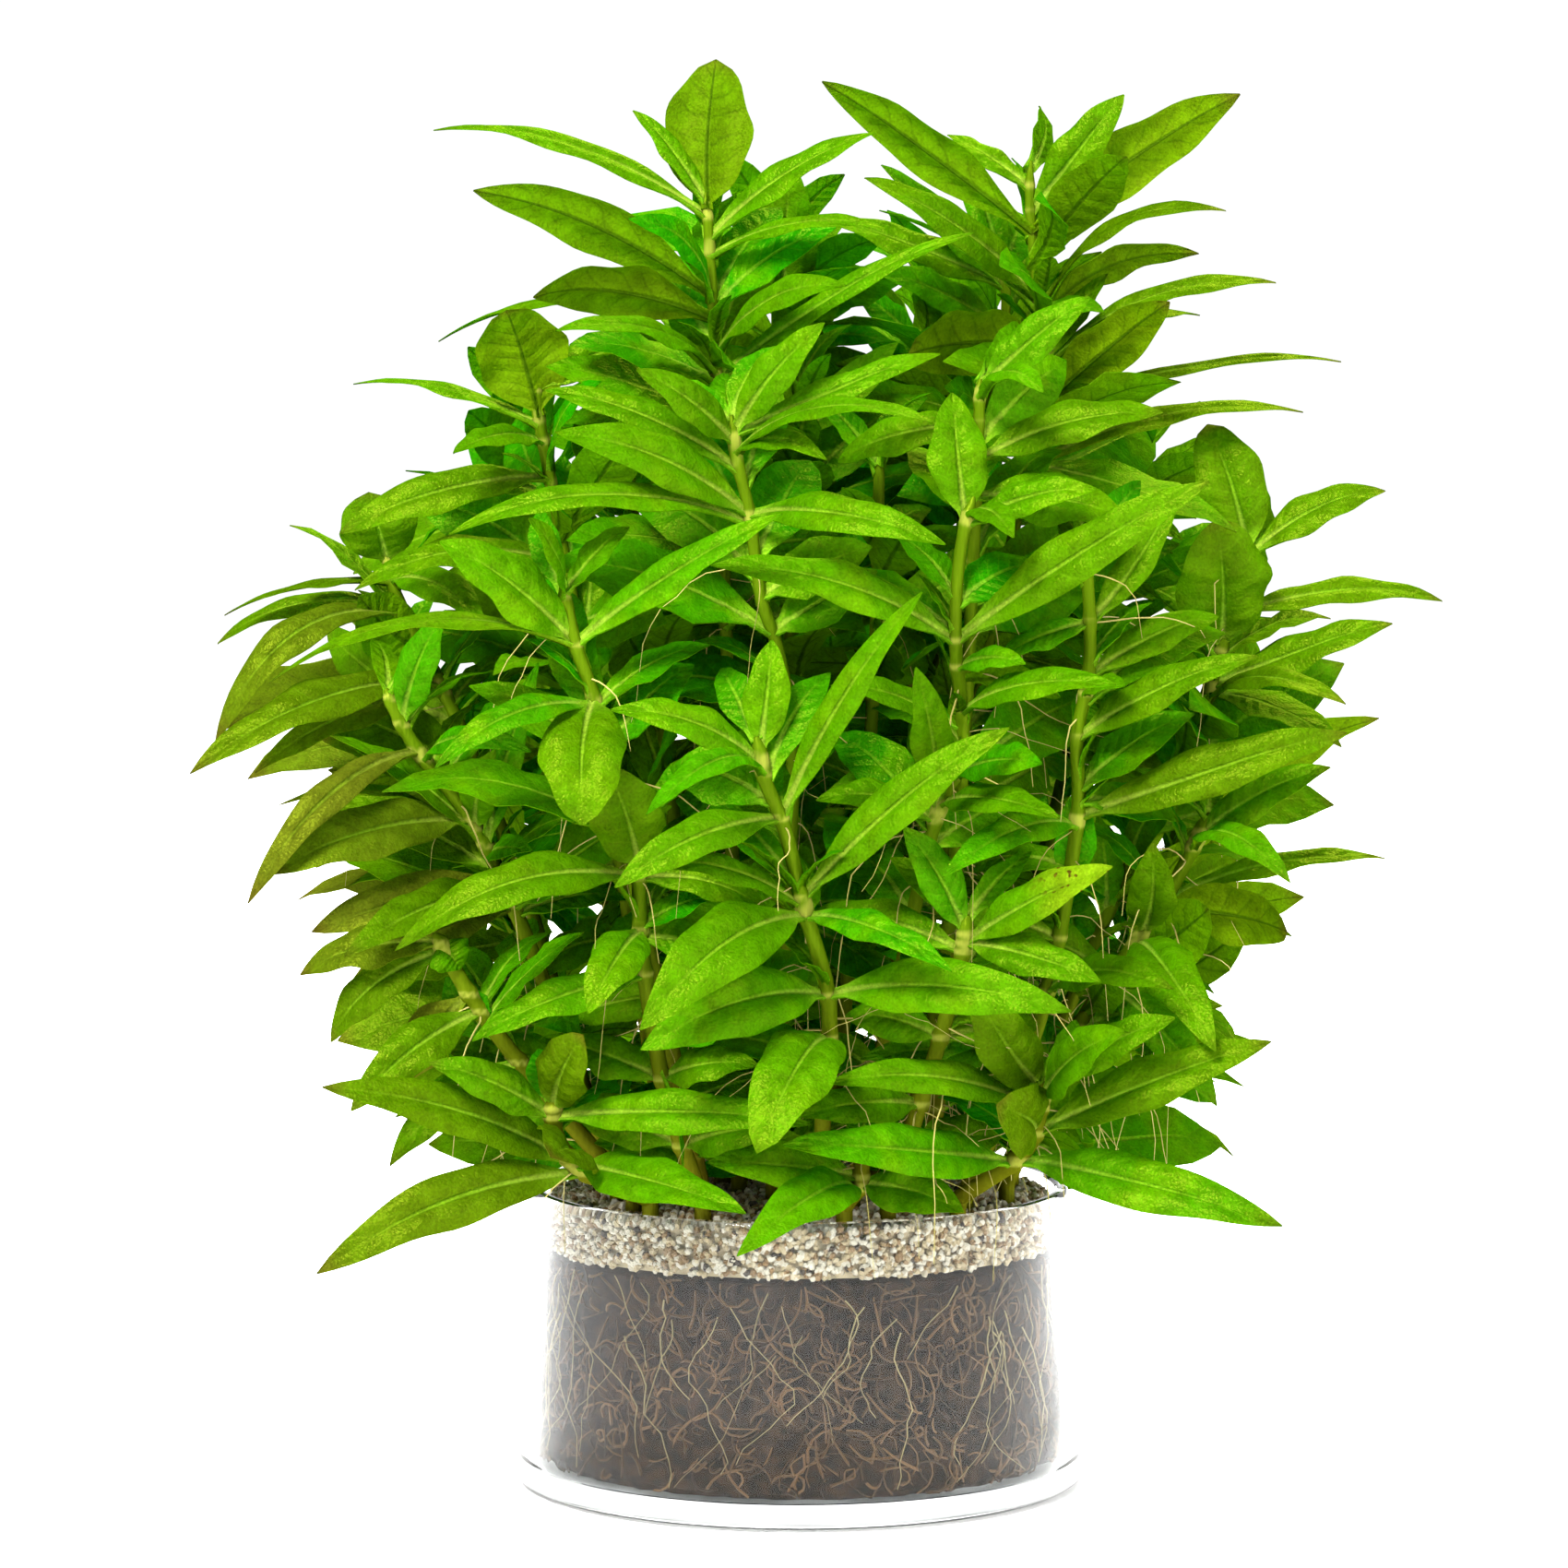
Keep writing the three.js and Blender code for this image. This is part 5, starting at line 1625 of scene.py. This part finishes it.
def add_bent_leaf(batch, leaf, seed, spots):
    shape = fine_leaf if leaf["placed"] else small_blade if "small" in leaf else plain_leaf
    points, half = bend_leaf(leaf, shape, seed)
    traits = same_traits(points, leaf_tone(leaf, seed), leaf_age(leaf, seed), 0, spots)
    traits[:, 2] = shape["upper"]
    place = np.stack([shape["u"], shape["v"], half], axis=1)
    add_copy(batch, points, shape["faces"], place, traits, leaf_finish)


for plant in plants:
    batch = new_batch()
    add_stem(batch, plant)
    for k, leaf in enumerate(plant["leaves"]):
        spots = float((plant["name"], k) == spotted_leaf)
        add_bent_leaf(batch, leaf, leaf_seed_step * plant["number"] + k, spots)
    piece = finished_piece(batch, "leafy_" + plant["name"], [stem_skin, leaf_skin])
    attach(piece, "root")
    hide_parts("shoot_" + plant["name"])

# %% [markdown]
# ## Fine roots
#
# Staurogyne grown above water puts out thread roots from its nodes. They wander between
# the leaves and hang down, cream and as thin as hair. Each is a bent copy of one thin tube.

# %% Course of a root
root_step = 2.2
root_rise, root_rise_middle = 0.5, 0.6
root_wander, root_climb, root_sag = 0.9, 0.8, 0.16
steepest_drop, steepest_rise = -1.45, 0.9
fewest_steps = 3
root_lowest = -8.0
root_seed_step = 13


def root_course(start, azimuth, length, seed):
    points = [start]
    rise = root_rise * (noise(seed, 61) - root_rise_middle)
    for k in range(max(int(length / root_step), fewest_steps)):
        azimuth += swung(root_wander, seed + k, 62)
        rise += swung(root_climb, seed + k, 63) - root_sag
        rise = min(max(rise, steepest_drop), steepest_rise)
        points.append(points[-1] + root_step * direction_of(azimuth, rise))
    return points


def is_clear(point):
    over_pot = math.hypot(point[0], point[1]) < pot_keep_out
    return point[2] >= (gravel_keep_out if over_pot else root_lowest)


# %% Roots among the stems
root_batch = new_batch()
root_nodes = (4.0, 74.0, 5.5)
roots_per_node = 4
root_share = 0.9
left_share, right_share = 0.35, 0.65
right_side = (-10, 25)
thinning = (1.15, 80)
root_lift = 2.5
root_length = (9, 20)
root_thickness = (0.055, 0.06)
root_taper = (1.15, 0.8)


def grow_root(plant, node, seed):
    start = stem_at(plant["line"], node + root_lift * noise(seed, 65))
    course = root_course(start, 2 * math.pi * noise(seed, 66), drawn(root_length, seed, 67),
                         seed * root_seed_step)
    while len(course) > fewest_steps and not all(map(is_clear, course)):
        course = course[:-1]
    if all(map(is_clear, course)):
        add_thread(root_batch, course, drawn(root_thickness, seed, 68), root_taper,
                   noise(seed, 69), 0)


seed = 0
for plant in plants:
    share = root_share * (left_share + right_share * share_between(plant["line"][0][0], *right_side))
    low, high, step = root_nodes
    for node in np.arange(low, min(plant["top"], high), step):
        for k in range(roots_per_node):
            seed += 1
            if noise(seed, 64) <= share * (thinning[0] - node / thinning[1]):
                grow_root(plant, node, seed)
print("roots", len(root_batch["points"]))

# %% Roots that hang at the two sides
hanging = [(31, -26, 26, -4), (34.5, -27, 19, -3), (36, -24, 28, -7), (38, -22, 16, -5),
           (-33, -24, 22, -2), (-36, -20, 18, 2)]
drop_step = -3.0
sideways_sway, forward_sway = (2.4, 0.16, 2.3), (1.6, 0.11, 2)
hanging_drift, drift_middle = 0.9, 0.3
hanging_thickness = (0.06, 0.05)
hanging_taper = (1.2, 0.7)


def swaying(sway, drop, k):
    reach, waves, shift = sway
    return reach * math.sin(waves * drop + shift * k)


for k, (x, y, top, low) in enumerate(hanging):
    lean = hanging_drift * (noise(k, 71) - drift_middle)
    course = [vec(x + swaying(sideways_sway, drop, k) + lean * (top - drop) / 10,
                  y - swaying(forward_sway, drop, k), drop)
              for drop in np.arange(top, low, drop_step)]
    add_thread(root_batch, course, drawn(hanging_thickness, k, 72), hanging_taper,
               noise(k, 73), 0)

# %% Root finish
root_cream = (0.5, 0.44, 0.13)
root_tan = (0.2, 0.17, 0.02)
blotch_grain, root_grain = 420.0, 3000.0
root_relief_depth = 0.00008
root_lit_share = 0.25

root_skin, tree, skin = new_material("root_skin")
tone = parts_of(tree, "traits")[0]
blotches = times(tree, tone, grain(tree, blotch_grain))
root_colour = blended(tree, blotches, root_cream, root_tan)
tree.links.new(root_colour, skin.inputs["Base Color"])
skin.inputs["Roughness"].default_value = 0.45
skin.inputs["Specular IOR Level"].default_value = 0.08
root_normal = bumped(tree, skin, grain(tree, root_grain), root_relief_depth)
let_light_through(tree, skin, root_colour, root_lit_share, root_normal)

thread_roots = finished_piece(root_batch, "thread_roots", [root_skin])
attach(thread_roots, "root")

# %% [markdown]
# ## Gravel
#
# The dressing is coarse sand: angular, mostly cream and white, with a few tan and dark
# grains. A low heap carries loose grains on its top and packed ones behind the clear
# wall. One small angular grain is modelled, and each copy is squeezed and turned its own way.

# %% Turned profile
turn_steps, fine_turn_steps = 96, 128
turned_smooth = math.radians(35)


def turned_piece(name, profile, steps):
    deselect_all()
    radius, z = profile[0]
    bpy.ops.mesh.primitive_circle_add(vertices=steps, radius=radius * mm, fill_type="NGON",
                                      location=(0, 0, z * mm))
    piece = bpy.context.object
    piece.name = piece.data.name = name
    bpy.ops.object.mode_set(mode="EDIT")
    bpy.ops.mesh.select_all(action="SELECT")
    for next_radius, next_z in profile[1:]:
        bpy.ops.mesh.extrude_region_move(
            TRANSFORM_OT_translate={"value": (0, 0, (next_z - z) * mm)})
        bpy.ops.transform.resize(value=(next_radius / radius, next_radius / radius, 1),
                                 center_override=(0, 0, 0))
        radius, z = next_radius, next_z
    bpy.ops.mesh.select_all(action="SELECT")
    bpy.ops.mesh.normals_make_consistent(inside=False)
    bpy.ops.object.mode_set(mode="OBJECT")
    bpy.ops.object.transform_apply(location=True, rotation=True, scale=True)
    bpy.ops.object.shade_smooth_by_angle(angle=turned_smooth)
    print(name, len(piece.data.polygons), "faces")
    return piece


def pot_radius(z):
    return pot_foot_radius + (pot_rim_radius - pot_foot_radius) * z / pot_height


def inside_radius(z):
    return pot_radius(z) - pot_wall - fit_gap - 0.1


def on_circle(radius, turn, z):
    return vec(radius * math.cos(turn), radius * math.sin(turn), z)


# %% Bed of the gravel
grain_size = 0.98
bed_drop = 0.5 * grain_size
bed_inset = 1.2
crown_drop = 0.3
bed_rings = (1, 0.8, 0.6, 0.4, 0.2, 0.05)


def crown_height(radius):
    share = radius / inside_radius(gravel_edge)
    low = gravel_edge - bed_drop
    return low + (gravel_crown - crown_drop - gravel_edge) * (1 - share ** 2)


bed_low = plug_top + fit_gap
bed_edge = inside_radius(gravel_edge) - bed_inset
bed_profile = [(inside_radius(bed_low) - bed_inset, bed_low)]
bed_profile += [(bed_edge * share, crown_height(bed_edge * share)) for share in bed_rings]
gravel_bed = turned_piece("gravel_bed", bed_profile, turn_steps)

# %% One grain
deselect_all()
bpy.ops.mesh.primitive_ico_sphere_add(subdivisions=1, radius=0.5)
bpy.ops.object.mode_set(mode="EDIT")
bpy.ops.mesh.select_all(action="SELECT")
bpy.ops.transform.resize(value=(1.1, 0.9, 0.85))
bpy.ops.object.mode_set(mode="OBJECT")
grain_points, grain_faces = taken_apart(bpy.context.object)
print("one grain", len(grain_faces), "faces")

# %% Scatter the grains
rng = np.random.default_rng(7)
feet_radius = 1.35
top_grains, wall_grains = 3500, 3200
top_sizes, wall_sizes = (0.75, 0.5), (0.75, 0.4)
top_inset, top_depth = 0.55, 0.45
wall_inset, wall_depth, wall_floor = 0.6, 0.25, 0.1
grain_roughness, grain_squeeze = 0.28, (0.75, 0.5)
golden = math.pi * (3 - math.sqrt(5))
gravel_batch = new_batch()


def rng_drawn(span):
    return span[0] + span[1] * rng.random()


def add_grain(middle, size):
    jitter = 1 + grain_roughness * (rng.random((len(grain_points), 1)) - 0.5)
    squeeze = grain_squeeze[0] + grain_squeeze[1] * rng.random(3)
    axes, _ = np.linalg.qr(rng.normal(size=(3, 3)))
    if np.linalg.det(axes) < 0:
        axes[:, 0] *= -1
    points = middle + (grain_points * jitter * squeeze * size) @ axes.T
    add_plain_copy(gravel_batch, points, grain_faces, rng.random(), rng.random())


def near_stem(x, y):
    return any(math.hypot(x - foot[0], y - foot[1]) < feet_radius
               for foot in (plant["line"][0] for plant in plants))


# %% Grains on top and behind the wall
for k in range(top_grains):
    radius = (inside_radius(gravel_edge) - top_inset) * math.sqrt((k + 0.5) / top_grains)
    middle = on_circle(radius, golden * k, 0)
    if not near_stem(middle[0], middle[1]):
        size = grain_size * rng_drawn(top_sizes)
        middle[2] = crown_height(radius) + top_depth * rng.random() - gravel_crown
        add_grain(middle, size)
for k in range(wall_grains):
    low = bed_low + wall_floor
    z = low + (gravel_edge - bed_low - wall_floor) * rng.random()
    size = grain_size * rng_drawn(wall_sizes)
    radius = inside_radius(z) - wall_inset * size - wall_depth * rng.random()
    add_grain(on_circle(radius, golden * k, z - gravel_crown), size)

# %% Gravel finish
sand_cream = (0.36, 0.29, 0.17)
sand_white = (0.5, 0.46, 0.37)
sand_tan = (0.2, 0.12, 0.045)
sand_dark = (0.04, 0.028, 0.018)
white_edge, tan_edge, dark_edge = (0.35, 0.6), (0.72, 0.78), (0.945, 0.955)
cloud_grain, cloud_shade, cloud_roughness = 1700.0, (0.5, 0.72), (0.4, 0.3)
sand_grain, sand_relief_depth = 5200.0, 0.0001

gravel_skin, tree, skin = new_material("gravel_skin")
tone, kind, _, _ = parts_of(tree, "traits")
mineral = blended(tree, fade(tree, tone, white_edge), sand_cream, sand_white)
mineral = blended(tree, fade(tree, kind, tan_edge), mineral, sand_tan)
mineral = blended(tree, fade(tree, kind, dark_edge), mineral, sand_dark)
cloudy = grain(tree, cloud_grain)
mineral = brightened(tree, mineral, line_of(tree, cloudy, cloud_shade))
tree.links.new(mineral, skin.inputs["Base Color"])
tree.links.new(line_of(tree, cloudy, cloud_roughness), skin.inputs["Roughness"])
bumped(tree, skin, grain(tree, sand_grain), sand_relief_depth)

gravel_bed.data.materials.append(gravel_skin)
gravel_grains = finished_piece(gravel_batch, "gravel_grains", [gravel_skin], 20.0)
for piece in (gravel_bed, gravel_grains):
    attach(piece, "root")
    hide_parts("gravel")

# %% [markdown]
# ## Growing plug
#
# Under the gravel the pot is packed with a dark fibrous plug, which shows through the clear
# wall with pale roots grown along it. A turned body with an uneven skin carries the fibres.

# %% Plug body
plug_low = pot_floor + fit_gap
plug_rings = 26
plug_chamfer, plug_inset = 1.2, 0.35
low_ring, high_ring = 0.8, 0.6
plug_centre = 12.0
hollow_depth = 0.9
lump_grain = 420.0

heights = np.linspace(plug_low + low_ring, plug_top - high_ring, plug_rings)
plug_profile = [(inside_radius(plug_low) - plug_chamfer, plug_low)]
plug_profile += [(inside_radius(z) - plug_inset, z) for z in heights]
plug_profile += [(inside_radius(plug_top) - plug_chamfer, plug_top), (plug_centre, plug_top)]
plug_body = turned_piece("plug_body", plug_profile, fine_turn_steps)
for vertex in plug_body.data.vertices:
    lumps = cloud.fractal(vertex.co * lump_grain, 1.0, 2.0, 4)
    inwards = Vector((vertex.co.x, vertex.co.y, 0)).normalized()
    vertex.co -= inwards * hollow_depth * mm * min(max(0.5 + lumps, 0), 1)

# %% Plug fibres
fibre_batch = new_batch()
short_fibres, long_roots = 1500, 90
plug_edge = 0.8
fibre_reach, fibre_bend = (1.0, 2.2), 0.6
fibre_depth, fibre_dip = 0.25, 0.5
fibre_thickness, root_on_plug = (0.1, 0.14), (0.05, 0.06)
fibre_taper = (1.1, 0.5)
wall_turn = 31
first_drift, kept_drift, new_drift = 0.02, 0.75, 0.017
root_top, root_top_spread, root_fall, root_floor = 0.4, 8, 1.1, 0.6
root_steps = (8, 14)
root_depth = 0.2
root_paleness = (0.5, 0.5)


def on_wall(turn, level, depth):
    return on_circle(inside_radius(level) - depth, turn, level - gravel_crown)


def add_fibre(course, thickness, pale):
    add_thread(fibre_batch, course, thickness, fibre_taper, rng.random(), pale)


def fibre_course(turn, level, slope, reach, bend):
    course = []
    for step in np.linspace(-1, 1, 5):
        aside = reach * step * math.cos(slope + bend * step)
        rise = reach * step * math.sin(slope + bend * step)
        z = min(max(level + rise, plug_low + fit_gap), plug_top - fit_gap)
        course.append(on_wall(turn + aside / wall_turn, z,
                              fibre_depth + fibre_dip * abs(step) ** 2))
    return course


def long_course(turn, level, drift):
    course = []
    for _ in range(int(rng_drawn(root_steps))):
        course.append(on_wall(turn, level, root_depth))
        drift = kept_drift * drift + new_drift * rng.normal()
        turn += drift
        level -= root_fall
        if level < plug_low + root_floor:
            break
    return course


# %% Grow the fibres
for _ in range(short_fibres):
    turn = 2 * math.pi * rng.random()
    level = plug_low + plug_edge + (plug_top - plug_low - 2 * plug_edge) * rng.random()
    slope = math.pi * rng.random()
    course = fibre_course(turn, level, slope, rng_drawn(fibre_reach), fibre_bend * rng.normal())
    add_fibre(course, rng_drawn(fibre_thickness), 0.0)
for _ in range(long_roots):
    turn = 2 * math.pi * rng.random()
    level = plug_top - root_top - root_top_spread * rng.random()
    course = long_course(turn, level, first_drift * rng.normal())
    add_fibre(course, rng_drawn(root_on_plug), rng_drawn(root_paleness))

# %% Plug finish
plug_black = (0.005, 0.0035, 0.0025)
plug_brown = (0.03, 0.017, 0.009)
fibre_brown = (0.08, 0.045, 0.02)
plug_root = (0.3, 0.25, 0.12)
earth_grain, earth_edge = 700.0, (0.35, 0.7)
earth_roughness, fibre_roughness = (0.3, 0.6), (0.3, 0.45)
lump_relief_depth = 0.0005
fibre_shade = (1.6, 0.15)

plug_skin, tree, skin = new_material("plug_skin")
earth = fade(tree, grain(tree, earth_grain, 6.0), earth_edge)
tree.links.new(blended(tree, earth, plug_black, plug_brown), skin.inputs["Base Color"])
tree.links.new(line_of(tree, grain(tree, 900.0), earth_roughness), skin.inputs["Roughness"])
skin.inputs["Specular IOR Level"].default_value = 0.08
bumped(tree, skin, grain(tree, 480.0), lump_relief_depth)

fibre_skin, tree, skin = new_material("fibre_skin")
tone, pale, _, _ = parts_of(tree, "traits")
brown_fibre = brightened(tree, fibre_brown, line_of(tree, tone, fibre_shade))
tree.links.new(blended(tree, pale, brown_fibre, plug_root), skin.inputs["Base Color"])
tree.links.new(line_of(tree, grain(tree, 1200.0), fibre_roughness), skin.inputs["Roughness"])
skin.inputs["Specular IOR Level"].default_value = 0.12

plug_body.data.materials.append(plug_skin)
plug_fibres = finished_piece(fibre_batch, "plug_fibres", [fibre_skin])
for piece in (plug_body, plug_fibres):
    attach(piece, "root")
    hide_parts("plug")

# %% [markdown]
# ## Clear pot
#
# A thin moulded cup, a little wider at its foot, with a rounded rim. It is turned in one go
# from its profile: up the outside, over the rim, and down the inside to the floor.

# %% Pot wall
pot_profile = [
    (pot_foot_radius - 1.4, 0.0), (pot_foot_radius - 0.75, 0.1), (pot_foot_radius - 0.2, 0.55),
    (pot_foot_radius, 1.4), (pot_radius(12), 12.0), (pot_radius(24), 24.0),
    (pot_radius(33.6), 33.6), (pot_rim_radius, 34.05), (pot_rim_radius - 0.25, 34.4),
    (pot_rim_radius - 0.8, 34.5), (pot_rim_radius - 1.35, 34.4), (pot_rim_radius - 1.6, 34.05),
    (pot_radius(24) - pot_wall, 24.0), (pot_radius(12) - pot_wall, 12.0),
    (pot_radius(3.6) - pot_wall, 3.6), (pot_radius(2.9) - pot_wall - 0.3, 2.85),
    (pot_radius(2.6) - pot_wall - 1.0, pot_floor),
]
clear_pot = turned_piece("clear_pot", pot_profile, fine_turn_steps)

# %% Pot finish
hand_grain, hand_edge, pot_roughness = 60.0, (0.4, 0.8), (0.08, 0.02)
wave_grain, wave_depth, wave_strength = 45.0, 0.0002, 0.5

clear_skin, tree, skin = new_material("clear_skin")
skin.inputs["Base Color"].default_value = (0.97, 0.985, 0.98, 1)
skin.inputs["Transmission Weight"].default_value = 1.0
skin.inputs["IOR"].default_value = 1.2
handled = fade(tree, grain(tree, hand_grain, 4.0), hand_edge)
tree.links.new(line_of(tree, handled, pot_roughness), skin.inputs["Roughness"])
bumped(tree, skin, grain(tree, wave_grain, 1.0), wave_depth, wave_strength)
clear_pot.data.materials.append(clear_skin)
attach(clear_pot, "root")
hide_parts("pot")

# %% [markdown]
# ## Floor and light
#
# The floor is plain and nearly white. Light comes from everywhere, with one broad lamp
# above the front left, a weaker one at the right, and one behind, so that the top leaves
# glow a little.

# %% Floor
deselect_all()
bpy.ops.mesh.primitive_plane_add(size=8.0, location=(0, 0, -0.0003))
floor = bpy.context.object
floor.name = "floor"
floor_skin, tree, skin = new_material("floor_skin")
skin.inputs["Base Color"].default_value = (0.97, 0.97, 0.965, 1)
skin.inputs["Roughness"].default_value = 0.7
skin.inputs["Specular IOR Level"].default_value = 0.1
floor.data.materials.append(floor_skin)
floor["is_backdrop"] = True

# %% Light
sky_strength = 1.05
lamps_aim = Vector((0, 0, 0.08))

world = bpy.data.worlds.new("studio")
bpy.context.scene.world = world
world.use_nodes = True
world.node_tree.nodes["Background"].inputs["Color"].default_value = (1, 1, 1, 1)
world.node_tree.nodes["Background"].inputs["Strength"].default_value = sky_strength


def add_lamp(name, place, size, power):
    light = bpy.data.lights.new(name, "AREA")
    light.shape = "DISK"
    light.size = size
    light.energy = power
    lamp = bpy.data.objects.new(name, light)
    lamp.location = place
    lamp.rotation_euler = (lamps_aim - Vector(place)).to_track_quat("-Z", "Y").to_euler()
    bpy.context.scene.collection.objects.link(lamp)


add_lamp("key", place=(-0.45, -0.9, 1.0), size=0.5, power=68.0)
add_lamp("fill", place=(0.9, -0.8, 0.5), size=0.9, power=12.0)
add_lamp("rim", place=(0.25, 0.8, 1.0), size=0.6, power=45.0)
print("lamps", [lamp.name for lamp in bpy.data.lights])

# %% Sizes at the end
seen_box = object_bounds()
sizes = {"cad": [list(corner) for corner in cad_box], "visual": [list(corner) for corner in seen_box]}
for name, low_high in sizes.items():
    print(name, [[round(value * 1000, 1) for value in corner] for corner in low_high])
